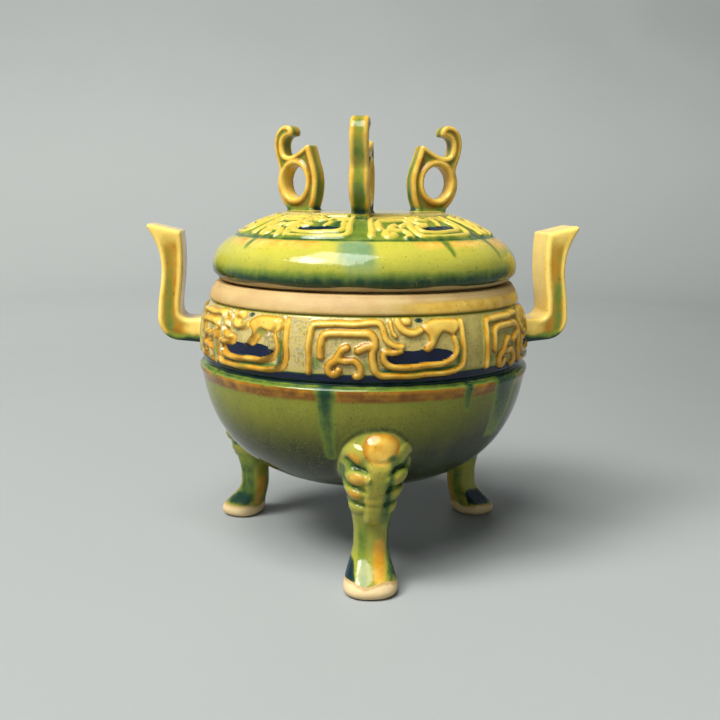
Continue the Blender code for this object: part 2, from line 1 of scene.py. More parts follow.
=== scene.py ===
"""Looks of a tripod incense burner of glazed earthenware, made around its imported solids.

Two pieces replace the two solids: the bowl with its mask legs and ears, and the lid with its scroll
knobs. Each is a turned body with a moulded frieze, joined to limbs that are made as the zero
surface of a distance field, so that clay and glaze run smoothly from one into the other.
Metres, +Z up, the floor at z = 0, the bowl's axis on the Z axis and the front leg towards -Y.
"""

import math

import bmesh
import bpy
import numpy as np
from mathutils import Matrix, Vector


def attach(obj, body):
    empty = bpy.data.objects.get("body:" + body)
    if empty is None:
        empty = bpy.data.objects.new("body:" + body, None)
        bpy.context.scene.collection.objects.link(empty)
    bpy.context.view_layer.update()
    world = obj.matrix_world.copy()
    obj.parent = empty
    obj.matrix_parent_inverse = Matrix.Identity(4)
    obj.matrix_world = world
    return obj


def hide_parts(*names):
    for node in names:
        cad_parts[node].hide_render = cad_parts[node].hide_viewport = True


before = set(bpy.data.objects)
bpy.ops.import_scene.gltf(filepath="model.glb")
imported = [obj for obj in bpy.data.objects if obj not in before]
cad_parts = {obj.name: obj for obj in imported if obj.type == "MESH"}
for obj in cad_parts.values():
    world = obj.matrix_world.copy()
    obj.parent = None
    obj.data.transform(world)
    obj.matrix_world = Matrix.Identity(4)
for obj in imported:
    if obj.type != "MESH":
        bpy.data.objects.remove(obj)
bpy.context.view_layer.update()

# Bowl
RIM_HEIGHT = 0.1000
RIM_RADIUS = 0.0552
RIM_ROUNDING = 0.0010
MOUTH_RADIUS = 0.0504
BAND_RADIUS = 0.0571
BAND_FOOT = 0.0937
BAND_GROOVE = 0.0007
FRIEZE_TOP = 0.0931
FRIEZE_FOOT = 0.0729
FRIEZE_RADIUS = 0.0598
FRIEZE_TOP_DRAW = 0.0030
FRIEZE_FOOT_DRAW = 0.0005
FRIEZE_TURN = math.radians(3.5)
CHANNEL_DEPTH = 0.0008
FILLET_TOP = 0.0707
FILLET_FOOT = 0.0673
FILLET_RADIUS = 0.0611
BELLY_RADIUS = 0.0612
BELLY_CENTRE = 0.0850
BELLY_POWER = 2.7
UNDERSIDE = 0.0255
WALL = 0.0045
FLOOR_THICKNESS = 0.0050
FRIEZE_TALL = FRIEZE_TOP - FRIEZE_FOOT

# Relief
PANELS = 6
PANEL_PITCH = 2 * math.pi / PANELS
RIDGE_HEIGHT = 0.00145
PLATE_HEIGHT = 0.00125
STROKE_WAVER = 0.00012
STROKE_BLEND = 0.0004
LEFT_PANEL_SHIFT = 0.040
FRIEZE_WIDTH = PANEL_PITCH * FRIEZE_RADIUS

# Lid
SEAT = 0.1003
LID_EDGE_RADIUS = 0.0535
LID_RADIUS = 0.0561
LID_FOOT = SEAT + 0.0006
LID_WIDEST = SEAT + 0.0055
LID_SHOULDER_CENTRE = 0.0380
LID_SHOULDER_RADIUS = 0.0474
LID_SHOULDER = SEAT + 0.0165
LID_FRIEZE_CROWN = 0.0007
DISC_RADIUS = 0.0312
DISC_FOOT = SEAT + 0.0234
DISC_TOP = DISC_FOOT + 0.0014
LID_WALL = 0.0042
FLANGE_OUTER = 0.0496
FLANGE_INNER = 0.0464
FLANGE_DEPTH = 0.0050
FLANGE_ROOT = 0.0024
LID_TURN = math.radians(-6.5)
LID_RELIEF = 0.65
LID_FRIEZE_TURN = LID_TURN + PANEL_PITCH / 2
LID_FRIEZE_WIDTH = PANEL_PITCH * (LID_SHOULDER_RADIUS + DISC_RADIUS) / 2

# Legs
LEGS = 3
FOOT_REACH = 0.0636
FOOT_LENGTH = 0.0164
FOOT_HALF_WIDTH = 0.0092
ANKLE_REACH = 0.0546
ANKLE_DEPTH = 0.0105
ANKLE_HALF_WIDTH = 0.0059
ANKLE_HEIGHT = 0.0185
KNEE_REACH = 0.0606
KNEE_HALF_WIDTH = 0.0114
KNEE_HEIGHT = 0.0450
KNEE_TOP = 0.0590
LEG_LEAN = 0.0013
SOLE_ROUNDING = 0.0028
MASK_LEAN = 0.0014
LEG_ROOT_REACH = 0.0370
LEG_SECTION_POWER = 2.3
LEG_FILLET = 0.0030

# The masks, on either side of the knee's middle line. Lobes: their rise, how far aside and up they
# stand, half width and half height. Creases: their line, width and depth. Dome: its height, half
# width, half height and rise
MASK_LOBES = (
    (0.0009, 0.0090, 0.0483, 0.0036, 0.0038), (0.0015, 0.0069, 0.0408, 0.0042, 0.0027),
    (0.0013, 0.0070, 0.0351, 0.0034, 0.0025), (0.0008, 0.0059, 0.0294, 0.0028, 0.0021),
)
MASK_CREASES = (
    (((0.0106, 0.0466), (0.0075, 0.0443), (0.0040, 0.0429)), 0.0010, 0.0015),
    (((0.0120, 0.0432), (0.0107, 0.0392), (0.0070, 0.0373), (0.0036, 0.0362)), 0.0008, 0.0010),
    (((0.0099, 0.0347), (0.0080, 0.0322), (0.0053, 0.0312), (0.0034, 0.0310)), 0.0008, 0.0008),
)
MASK_DOME = (0.0503, 0.0080, 0.0066, 0.0014)
TRUNK_FOOT = 0.0262
TRUNK_TOP = 0.0480
TRUNK_HALF_WIDTH = 0.0029
TRUNK_SPREAD = 0.0013
TRUNK_RISE = 0.0019
TRUNK_CREASES = (0.0340, 0.0310)
TRUNK_CREASE_DEPTH = 0.00025

# Ears: each has its own shift outward and its own turn about its upright middle line
EARS = ((-0.0007, math.radians(6)), (-0.0006, 0.0))
EAR_WIDTH = 0.0165
EAR_INNER_REACH = 0.0669
EAR_TURN_REACH = 0.0720
EAR_BAR = 0.0080
EAR_UNDERSIDE = 0.0770
EAR_STUB_TOP = 0.0862
EAR_TOP = 0.1206
EAR_ROOT_REACH = 0.0562
EAR_ROUNDING = 0.0014
EAR_PANEL_DEPTH = 0.00045
EAR_FILLET = 0.0024

# Knobs
KNOBS = 3
KNOB_THICKNESS = 0.0064
KNOB_CENTRE_REACH = 0.0298
KNOB_HEIGHT = 0.0321
KNOB_HALF_WIDTH = 0.0106
KNOB_TWIST = math.radians(-5)
HOLE_REACH = 0.0298
HOLE_HEIGHT = 0.0108
HOLE_HALF_WIDTH = 0.0054
HOLE_HALF_HEIGHT = 0.0060
HOLE_ROUNDING = 0.0008
KNOB_ROUNDING = 0.0012
KNOB_PANEL_DEPTH = 0.0006
RING_LIFT = 0.0005
KNOB_SPINE = 0.00018
KNOB_FILLET = 0.0016
KNOB_SIDE = (
    (0.34, -0.06), (0.39, 0.02), (0.61, 0.10), (0.79, 0.21), (0.85, 0.32), (0.81, 0.41),
    (0.76, 0.48), (0.84, 0.57), (0.95, 0.68), (0.99, 0.80), (0.90, 0.91), (0.71, 0.975),
    (0.47, 1.00), (0.26, 0.985), (0.14, 0.93), (0.17, 0.875), (0.32, 0.865), (0.48, 0.845),
    (0.58, 0.79), (0.58, 0.72), (0.51, 0.66), (0.34, 0.64), (0.07, 0.655), (-0.22, 0.70),
    (-0.45, 0.75), (-0.61, 0.765), (-0.68, 0.72), (-0.80, 0.60), (-0.93, 0.48), (-1.00, 0.36),
    (-0.99, 0.25), (-0.93, 0.14), (-0.81, 0.03), (-0.79, -0.06),
)

# Meshes: points round a ring, rows of a frieze, and for each limb the box that it lies in and the
# size of its cells
FINE = 720
MEDIUM = 240
COARSE = 120
BOWL_ROWS = 44
LID_ROWS = 42
LEG_GRID = ((-0.017, -0.068, -0.002), (0.017, -0.030, 0.064), 0.0007)
EAR_GRIDS = (
    ((0.0520, -0.0125, 0.070), (0.0835, 0.0125, 0.123), 0.00065),
    ((-0.0825, -0.0125, 0.070), (-0.0520, 0.0125, 0.123), 0.00065),
)
KNOB_GRID = ((-0.007, -0.0440, DISC_TOP - 0.006), (0.007, -0.0130, 0.160), 0.0005)

# Roots: how deep they reach, as a share of the wall, and how far a fillet's end sinks under it
ROOT_SHARE = 0.7
KNOB_ROOT_SHARE = 0.6
SKIN = 0.00004

# Glaze runs: middle and half width in degrees round the axis, and the height where each ends
BOWL_RUNS = (
    (-16.0, 3.1, 0.0450), (30.6, 2.2, 0.0610), (50.0, 7.5, 0.0480), (-35.5, 1.6, 0.0690),
    (-62.0, 1.5, 0.0670), (78.0, 3.0, 0.0580), (-97.0, 3.5, 0.0560),
    (118.0, 4.0, 0.0520), (156.0, 2.6, 0.0610), (-168.0, 5.0, 0.0500), (-134.0, 2.6, 0.0640),
)
LID_RUNS = (
    (-55.0, 2.0, 0.1125), (28.5, 1.8, 0.1112), (54.0, 2.0, 0.1100), (90.0, 5.0, 0.1060),
    (139.0, 7.0, SEAT), (-108.0, 6.0, 0.1070), (-168.0, 4.0, 0.1090),
)
# Amber on the lid's shoulder: from and to in degrees, and the share of the height where it starts
LID_AMBER = (
    (-72, -20, 0.70), (14, 50, 0.70), (50, 86, 0.62), (95, 128, 0.60),
    (150, 171, 0.68), (-100, -84, 0.72), (-150, -118, 0.62),
)
# Ovals on a panel of the frieze: middle and reach, as shares of its pitch and height, with the
# strength before them where the ovals differ in it
BASINS = ((0.58, 0.36, 0.12, 0.14), (0.72, 0.38, 0.15, 0.14))
GREEN_SPOTS = (
    (0.62, 0.115, 0.26, 0.04, 0.15), (0.50, 0.39, 0.25, 0.04, 0.16),
    (0.35, 0.52, 0.70, 0.03, 0.20),
)
TINTED_SPOTS = (
    (0.55, 0.635, 0.85, 0.030, 0.07), (0.45, 0.76, 0.70, 0.05, 0.12),
    (0.40, 0.22, 0.20, 0.02, 0.06),
)

# Glazes and clay: red, green and blue
# The bowl's deep colour below is mostly painted shade on its belly, and glaze pooled at the leg
# roots
BOWL_GLAZE_AND_SHADE = ((0.195, 0.205, 0.022), (0.013, 0.021, 0.003))
LID_GLAZE = ((0.385, 0.358, 0.046), (0.150, 0.190, 0.024))
OLIVE = (0.270, 0.265, 0.040)
CREAM = (0.410, 0.325, 0.100)
STAIN = (0.130, 0.115, 0.026)
AMBERS = (
    (0.165, 0.060, 0.006), (0.400, 0.195, 0.013), (0.600, 0.415, 0.078), (0.760, 0.545, 0.130),
)
GREENS = ((0.120, 0.172, 0.021), (0.008, 0.042, 0.016))
JADE = (0.115, 0.215, 0.115)
CRACKLE = (0.330, 0.310, 0.130)
COBALTS = ((0.010, 0.036, 0.022), (0.003, 0.007, 0.026))
WEATHERED = (0.346, 0.329, 0.270)
PIT = (0.035, 0.028, 0.008)
CLAYS = ((0.445, 0.315, 0.130), (0.400, 0.262, 0.108))
PALE_CLAY = (0.585, 0.440, 0.235)
CLAY_SPECK = (0.227, 0.135, 0.065)
CLAY_WASH = (0.346, 0.232, 0.043)

# Stage: the cove's floor, its curve up to the wall, and its paper
FLOOR_REACH = 0.9
COVE_RADIUS = 0.5
COVE_TOP = 1.3
COVE_COUNT = 96
PAPERS = ((0.268, 0.286, 0.283), (0.275, 0.293, 0.291))
# The next two colours are painted light low on the wall behind and painted shade to the right
PAPER_PAINTED_LIGHT = (0.315, 0.333, 0.327)
PAPER_PAINTED_SHADE = (0.110, 0.120, 0.118)
PAPER_FLECK = (0.42, 0.42, 0.41)
WORLD_COLOUR = (0.62, 0.66, 0.68, 1.0)
WORLD_STRENGTH = 0.018

# Soft boxes: azimuth and elevation in degrees, distance, size, power and tint
LIGHTS = {
    "window": (-37.0, 51.0, 2.3, (1.5, 2.5), 155.0, (1.0, 0.985, 0.96)),
    "side_window": (-60.0, 46.0, 2.2, (0.8, 0.9), 50.0, (1.0, 0.98, 0.95)),
}
LIGHT_TARGET = Vector((0.0, 0.0, 0.08))

# Camera, as fitted to the photo
CAMERA_PLACE = (-0.0274, -0.3541, 0.1326)
CAMERA_TURN = math.radians(-4.22)
CAMERA_TILT = math.radians(79.9)
CAMERA_ROLL = 0.009
CAMERA_LENS = 47.41

# One panel of the frieze as strokes, each with its half width, and one plate: every point is in
# thousandths of the panel's pitch and height
STROKES = (
    (0.0013, (
        (86, 130), (87, 330), (90, 730), (97, 850), (126, 895), (275, 900), (425, 920),
        (458, 880), (472, 770), (487, 660), (520, 580), (566, 560),
    )),
    (0.00155, (
        (150, 390), (151, 580), (157, 700), (180, 750), (276, 760), (370, 770), (407, 740),
        (425, 660), (426, 560), (411, 460), (417, 310), (430, 180),
    )),
    (0.0013, (
        (430, 180), (462, 95), (554, 90), (713, 100), (840, 120), (895, 160), (916, 270),
        (916, 530), (912, 910),
    )),
    (0.00165, (
        (415, 570), (381, 560), (340, 500),
    )),
    (0.0016, (
        (281, 530), (261, 500), (244, 410), (226, 330), (203, 290), (188, 210), (198, 130),
        (223, 120), (241, 180),
    )),
    (0.00145, (
        (241, 350), (281, 320), (321, 330), (347, 260), (355, 180), (350, 100), (330, 80),
    )),
    (0.00135, (
        (557, 500), (511, 460), (478, 470), (466, 400), (476, 310), (510, 240), (605, 230),
        (723, 250), (809, 280), (856, 360), (871, 500), (858, 660),
    )),
    (0.00145, (
        (545, 980), (552, 880), (581, 790), (623, 750), (665, 800),
    )),
    (0.00185, (
        (592, 950), (600, 940),
    )),
    (0.0008, (
        (506, 950), (511, 810), (532, 720),
    )),
)
PLATE = (
    (678, 860), (702, 930), (740, 970), (815, 970), (888, 960), (905, 840), (881, 740),
    (854, 680), (823, 720), (796, 740), (774, 680), (754, 600), (730, 490), (700, 440),
    (675, 490), (685, 580), (704, 650), (700, 720), (680, 790),
)


def ramp(low, high, value):
    """0 at the low value and 1 at the high one, smooth between them."""
    share = np.clip((value - low) / (high - low), 0.0, 1.0)
    return share * share * (3 - 2 * share)


def fade(low, high, value):
    return 1 - ramp(low, high, value)


def bell(distance, width):
    """1 at no distance, falling softly to both sides."""
    return np.exp(-((distance / width) ** 2))


def most(first, *others):
    """The greatest of several values at each point."""
    for other in others:
        first = np.maximum(first, other)
    return first


def smooth_min(a, b, size):
    """The lesser of two distances, rounded off where they differ by less than the size."""
    gap = np.maximum(size - np.abs(a - b), 0.0)
    return np.minimum(a, b) - gap * gap / (4 * size)


def smooth_max(a, b, size):
    return -smooth_min(-a, -b, size)


def mound(x, y, middle_x, middle_y, reach_x, reach_y):
    """1 in the middle of an oval and 0 from its edge on, round on top."""
    share = np.hypot((x - middle_x) / reach_x, (y - middle_y) / reach_y)
    return np.sqrt(np.maximum(0.0, 1 - share**2))


def segment_distance(x, y, start, end):
    run = end[0] - start[0]
    rise = end[1] - start[1]
    share = ((x - start[0]) * run + (y - start[1]) * rise) / (run * run + rise * rise)
    share = np.clip(share, 0.0, 1.0)
    return np.hypot(x - start[0] - share * run, y - start[1] - share * rise)


def path_distance(x, y, points):
    nearest = np.inf
    for start, end in zip(points, points[1:]):
        nearest = np.minimum(nearest, segment_distance(x, y, start, end))
    return nearest


def outline_distance(x, y, points):
    """Signed distance to a closed outline, negative inside."""
    closed = list(points) + [points[0]]
    inside = np.zeros(np.broadcast(x, y).shape, bool)
    for (x0, y0), (x1, y1) in zip(closed, closed[1:]):
        if y0 == y1:
            continue
        crosses = (y0 > y) != (y1 > y)
        inside ^= crosses & (x < x0 + (y - y0) * (x1 - x0) / (y1 - y0))
    return np.where(inside, -1.0, 1.0) * path_distance(x, y, closed)


def smooth_curve(points, pieces, closed=False):
    """A Catmull-Rom curve through the points."""
    count = len(points)
    curve = []
    for index in range(count if closed else count - 1):
        picks = [index - 1, index, index + 1, index + 2]
        if closed:
            p = [np.array(points[pick % count]) for pick in picks]
        else:
            p = [np.array(points[min(max(pick, 0), count - 1)]) for pick in picks]
        for piece in range(pieces):
            t = piece / pieces
            curve.append(tuple(0.5 * (
                2 * p[1] + (p[2] - p[0]) * t + (2 * p[0] - 5 * p[1] + 4 * p[2] - p[3]) * t * t
                + (3 * p[1] - p[0] - 3 * p[2] + p[3]) * t**3
            )))
    if not closed:
        curve.append(tuple(points[-1]))
    return curve


def arc(centre, radii, start, end, steps):
    """Points of an elliptic arc, both ends included, angles in degrees."""
    angles = np.radians(np.linspace(start, end, steps + 1))
    x, y = centre
    return [(x + radii[0] * math.cos(a), y + radii[1] * math.sin(a)) for a in angles]


def fill_corners(values, small):
    """Puts inside each grid square whose corners alternate, where the net would touch itself."""
    square = ((0, 0), (1, 0), (1, 1), (0, 1))
    while True:
        inside = values < 0
        found = False
        for axis in range(3):
            grid = np.moveaxis(inside, axis, 0)
            room = np.moveaxis(values, axis, 0)
            corners = [grid[:, i : i - 1 or None, j : j - 1 or None] for i, j in square]
            across = (corners[0] == corners[2]) & (corners[1] == corners[3])
            apart = across & (corners[0] != corners[1])
            found = found or apart.any()
            for i, j in square:
                part = room[:, i : i - 1 or None, j : j - 1 or None]
                part[apart] = np.minimum(part[apart], -small)
        if not found:
            return values


def surface_net(field, low, high, step):
    """A closed mesh of the field's zero surface: one point in each grid cell that it crosses."""
    axes = [np.arange(a, b + step, step) for a, b in zip(low, high)]
    x, y, z = np.meshgrid(*axes, indexing="ij", sparse=True)
    values = np.broadcast_to(field(x, y, z), [len(axis) for axis in axes])
    values = fill_corners(np.array(values), step * 0.01)
    inside = values < 0
    cells = [len(axis) - 1 for axis in axes]
    corners = [(i, j, k) for i in (0, 1) for j in (0, 1) for k in (0, 1)]

    def shifted(array, corner):
        return array[tuple(slice(c, c + n) for c, n in zip(corner, cells))]

    count = sum(shifted(inside, corner).astype(np.int8) for corner in corners)
    mixed = (count > 0) & (count < 8)
    number = np.full(mixed.shape, -1)
    number[mixed] = np.arange(mixed.sum())
    total = np.zeros((mixed.sum(), 3))
    crossings = np.zeros(mixed.sum())
    for corner in corners:
        for axis in range(3):
            if corner[axis]:
                continue
            other = list(corner)
            other[axis] = 1
            a = shifted(values, corner)[mixed]
            b = shifted(values, other)[mixed]
            cut = (a < 0) != (b < 0)
            share = np.where(cut, a / np.where(cut, a - b, 1.0), 0.0)
            point = np.tile(np.array(corner, float), (len(a), 1))
            point[:, axis] = share
            total[cut] += point[cut]
            crossings[cut] += 1
    origin = np.stack(np.nonzero(mixed), -1)
    points = (origin + total / crossings[:, None]) * step + np.array([axis[0] for axis in axes])
    faces = []
    for axis in range(3):
        first, second = [other for other in range(3) if other != axis]
        lower = [slice(None)] * 3
        upper = [slice(None)] * 3
        lower[axis] = slice(0, -1)
        upper[axis] = slice(1, None)
        cut = inside[tuple(lower)] != inside[tuple(upper)]
        starts = np.stack(np.nonzero(cut), -1)
        keep = (starts[:, first] > 0) & (starts[:, second] > 0)
        starts = starts[keep]
        outward = inside[tuple(lower)][tuple(starts.T)]
        loop = []
        for back in ((1, 1), (0, 1), (0, 0), (1, 0)):
            cell = starts.copy()
            cell[:, first] -= back[0]
            cell[:, second] -= back[1]
            loop.append(number[tuple(cell.T)])
        loop = np.stack(loop, -1)
        turn = outward == (axis != 1)
        faces.append(np.where(turn[:, None], loop, loop[:, ::-1]))
    faces = np.concatenate(faces)
    return settle(field, points, step), faces


def settle(field, points, step):
    """Moves the points onto the field's zero surface."""
    small = step * 0.1
    for _ in range(3):
        x, y, z = points.T
        value = field(x, y, z)
        slope = np.stack([
            field(x + small, y, z) - field(x - small, y, z),
            field(x, y + small, z) - field(x, y - small, z),
            field(x, y, z + small) - field(x, y, z - small),
        ], -1) / (2 * small)
        steep = np.maximum((slope * slope).sum(-1), 0.05)
        move = -slope * (value / steep)[:, None]
        length = np.maximum(np.linalg.norm(move, axis=-1), 1e-12)
        points = points + move * np.minimum(1.0, 0.4 * step / length)[:, None]
    return points


def new_piece(name, points, faces):
    mesh = bpy.data.meshes.new(name)
    mesh.from_pydata(np.asarray(points).tolist(), [], [list(map(int, face)) for face in faces])
    shape = bmesh.new()
    shape.from_mesh(mesh)
    bmesh.ops.recalc_face_normals(shape, faces=shape.faces)
    shape.to_mesh(mesh)
    shape.free()
    piece = bpy.data.objects.new(name, mesh)
    bpy.context.scene.collection.objects.link(piece)
    return piece


def stitch(upper, lower, upper_start, lower_start):
    """Faces between two rings, one of which has a whole multiple of the other's points."""
    if upper < lower:
        return [face[::-1] for face in stitch(lower, upper, lower_start, upper_start)]
    ratio = upper // lower
    middle = ratio // 2
    faces = []
    for index in range(lower):
        here = lower_start + index
        after = lower_start + (index + 1) % lower
        above = [upper_start + (index * ratio + step) % upper for step in range(ratio + 1)]
        if ratio == 1:
            faces.append((above[0], above[1], after, here))
            continue
        for step in range(ratio):
            faces.append((above[step], above[step + 1], here if step < middle else after))
        faces.append((above[middle], after, here))
    return faces


def turned_mesh(name, rings):
    """A body of revolution from rings of points, closed where the end rings are a single point."""
    starts = np.cumsum([0] + [len(ring) for ring in rings])
    faces = []
    for index in range(len(rings) - 1):
        a = len(rings[index])
        b = len(rings[index + 1])
        if a == 1:
            faces += [(0, starts[1] + (i + 1) % b, starts[1] + i) for i in range(b)]
        elif b == 1:
            last = starts[index + 1]
            faces += [(starts[index] + i, starts[index] + (i + 1) % a, last) for i in range(a)]
        else:
            faces += stitch(a, b, starts[index], starts[index + 1])
    return new_piece(name, np.concatenate(rings), faces)


def azimuths(count):
    return np.arange(count) * 2 * math.pi / count


def ring_at(radius, height, count):
    """A ring of points; radius and height may vary round it. Azimuth 0 is -Y and runs to +X."""
    azimuth = azimuths(count)
    radius = np.broadcast_to(radius, count)
    height = np.broadcast_to(height, count)
    return np.stack([radius * np.sin(azimuth), -radius * np.cos(azimuth), height], -1)


def rings_along(curve, count):
    return [ring_at(radius, height, count) for radius, height in curve]


def panel_place(azimuth, turn):
    """Share of the panel's pitch at an azimuth."""
    return np.mod((azimuth - turn) / PANEL_PITCH + 0.5, 1.0)


def bowl_panel_place(azimuth):
    """Share of the pitch on the bowl, where the panel left of the front one was set over."""
    u = panel_place(azimuth, FRIEZE_TURN)
    left = np.abs(np.degrees(azimuth - FRIEZE_TURN) + 60) < 30
    return np.where(left, u - LEFT_PANEL_SHIFT, u)


def relief_lift(u, v, width, height):
    """Height of the moulded frieze over its ground, on a panel of a width and height."""
    x = u * width
    y = v * height
    waver_x = STROKE_WAVER * np.sin(620 * y + 210 * x)
    waver_y = STROKE_WAVER * np.sin(530 * x + 180 * y)
    x, y = x + waver_x, y + waver_y
    lift = 0.0
    for half_width, points in STROKES:
        line = smooth_curve([(a / 1000 * width, b / 1000 * height) for a, b in points], 3)
        ridge = path_distance(x, y, line) / half_width
        lift = np.maximum(lift, RIDGE_HEIGHT * fade(0.25, 1.15, ridge))
    plate = [(a / 1000 * width, b / 1000 * height) for a, b in PLATE]
    outline = smooth_curve(plate, 2, closed=True)
    body = PLATE_HEIGHT * fade(-0.0012, 0.0004, outline_distance(x, y, outline))
    return smooth_max(lift, body, STROKE_BLEND)


def belly_curve(top, steps, inset=0.0):
    """Points down the belly from a height to just off the axis."""
    depth = BELLY_CENTRE - UNDERSIDE
    start = math.asin(((BELLY_CENTRE - top) / depth) ** (BELLY_POWER / 2))
    points = []
    for step in range(steps):
        angle = start + (math.pi / 2 - start) * step / steps
        radius = BELLY_RADIUS * math.cos(angle) ** (2 / BELLY_POWER)
        points.append((radius - inset, BELLY_CENTRE - depth * math.sin(angle) ** (2 / BELLY_POWER)))
    return points


BAND_CURVE = (
    (RIM_RADIUS - RIM_ROUNDING, RIM_HEIGHT),
    (RIM_RADIUS - 0.0003, RIM_HEIGHT - 0.0003),
    (RIM_RADIUS, RIM_HEIGHT - RIM_ROUNDING),
    (RIM_RADIUS + 0.0008, RIM_HEIGHT - 0.0022),
    (RIM_RADIUS + 0.0015, RIM_HEIGHT - 0.0036),
    (BAND_RADIUS, RIM_HEIGHT - 0.0050),
    (BAND_RADIUS + 0.0001, BAND_FOOT + 0.0003),
    (BAND_RADIUS - BAND_GROOVE, BAND_FOOT - 0.0002),
    (FRIEZE_RADIUS - FRIEZE_TOP_DRAW - 0.0002, FRIEZE_TOP + 0.0001),
)
FRIEZE_FOOT_RADIUS = FRIEZE_RADIUS - FRIEZE_FOOT_DRAW
CHANNEL_CURVE = (
    (FRIEZE_FOOT_RADIUS, FRIEZE_FOOT - 0.0004),
    (FRIEZE_FOOT_RADIUS - CHANNEL_DEPTH, FRIEZE_FOOT - 0.0011),
    (FRIEZE_FOOT_RADIUS - CHANNEL_DEPTH + 0.0001, FILLET_TOP + 0.0006),
    (FILLET_RADIUS - 0.0009, FILLET_TOP),
    (FILLET_RADIUS, FILLET_TOP - 0.0009),
    (FILLET_RADIUS, FILLET_FOOT + 0.0014),
    (FILLET_RADIUS - 0.0005, FILLET_FOOT + 0.0003),
)


def frieze_ground(v):
    """Radius of the bowl's frieze ground at a share of its height."""
    above = np.clip((v - 0.45) / 0.55, 0.0, 1.0)
    below = np.clip((0.3 - v) / 0.3, 0.0, 1.0)
    return FRIEZE_RADIUS - FRIEZE_TOP_DRAW * above**1.8 - FRIEZE_FOOT_DRAW * below * below


FRIEZE_SIDE = [
    (float(frieze_ground(v)), FRIEZE_FOOT + FRIEZE_TALL * v) for v in (0.85, 0.7, 0.5, 0.25, 0.0)
]
BOWL_SIDE = [
    *BAND_CURVE, *FRIEZE_SIDE, *CHANNEL_CURVE, *belly_curve(FILLET_FOOT, 24), (0.0, UNDERSIDE),
]


def bowl_rings():
    inner = []
    for radius, height in belly_curve(FILLET_FOOT, 12, WALL)[1:]:
        rise = FLOOR_THICKNESS * (BELLY_CENTRE - height) / (BELLY_CENTRE - UNDERSIDE)
        inner.append((radius, height + rise))
    upright = smooth_curve([
        (FRIEZE_RADIUS - WALL, FILLET_TOP), (FRIEZE_RADIUS - WALL, (FRIEZE_TOP + FRIEZE_FOOT) / 2),
        (BAND_RADIUS - WALL, FRIEZE_TOP - 0.0022), (MOUTH_RADIUS + 0.0003, BAND_FOOT),
        (MOUTH_RADIUS, RIM_HEIGHT - 0.0012),
    ], 4)
    lip = [(MOUTH_RADIUS + 0.0003, RIM_HEIGHT - 0.0003), (MOUTH_RADIUS + 0.0010, RIM_HEIGHT)]
    rings = [ring_at(0.0, UNDERSIDE + FLOOR_THICKNESS, 1)]
    rings += rings_along(inner[::-1] + upright, COARSE)
    rings += rings_along(lip + smooth_curve(BAND_CURVE, 2), MEDIUM)
    u = bowl_panel_place(azimuths(FINE))
    for row in range(BOWL_ROWS + 1):
        v = 1 - row / BOWL_ROWS
        lift = relief_lift(u, v, FRIEZE_WIDTH, FRIEZE_TALL)
        rings.append(ring_at(frieze_ground(v) + lift, FRIEZE_FOOT + FRIEZE_TALL * v, FINE))
    rings += rings_along(smooth_curve(CHANNEL_CURVE, 2), MEDIUM)
    for radius, height in belly_curve(FILLET_FOOT, 34)[1:]:
        rings.append(ring_at(radius, height, MEDIUM if radius > 0.02 else COARSE))
    rings.append(ring_at(0.0, UNDERSIDE, 1))
    return rings


def lid_dome(steps, inset):
    across = LID_RADIUS - LID_SHOULDER_CENTRE
    start = math.acos((LID_SHOULDER_RADIUS - LID_SHOULDER_CENTRE) / across)
    tall = (LID_SHOULDER - LID_WIDEST) / math.sin(start)
    angles = start * (1 - np.linspace(0.0, 1.0, steps + 1))
    outward, upward = across - inset, tall - inset
    return [
        (LID_SHOULDER_CENTRE + outward * math.cos(a), LID_WIDEST + upward * math.sin(a))
        for a in angles
    ]


def lid_ground(share):
    """Radius and height of the lid's frieze ground, from its shoulder inward."""
    radius = LID_SHOULDER_RADIUS + (DISC_RADIUS - LID_SHOULDER_RADIUS) * share
    rise = (DISC_FOOT - LID_SHOULDER) * share + 4 * LID_FRIEZE_CROWN * share * (1 - share)
    return radius, LID_SHOULDER + rise


LID_FRIEZE_DEPTH = math.hypot(LID_SHOULDER_RADIUS - DISC_RADIUS, DISC_FOOT - LID_SHOULDER)
LID_SLOPE = math.atan2(DISC_FOOT - LID_SHOULDER, LID_SHOULDER_RADIUS - DISC_RADIUS)
LID_EDGE_CURVE = (
    (LID_RADIUS, LID_WIDEST), (LID_RADIUS - 0.0003, SEAT + 0.0034),
    (LID_EDGE_RADIUS + 0.0009, SEAT + 0.0019), (LID_EDGE_RADIUS + 0.0002, SEAT + 0.0010),
    (LID_EDGE_RADIUS - 0.0004, LID_FOOT),
)


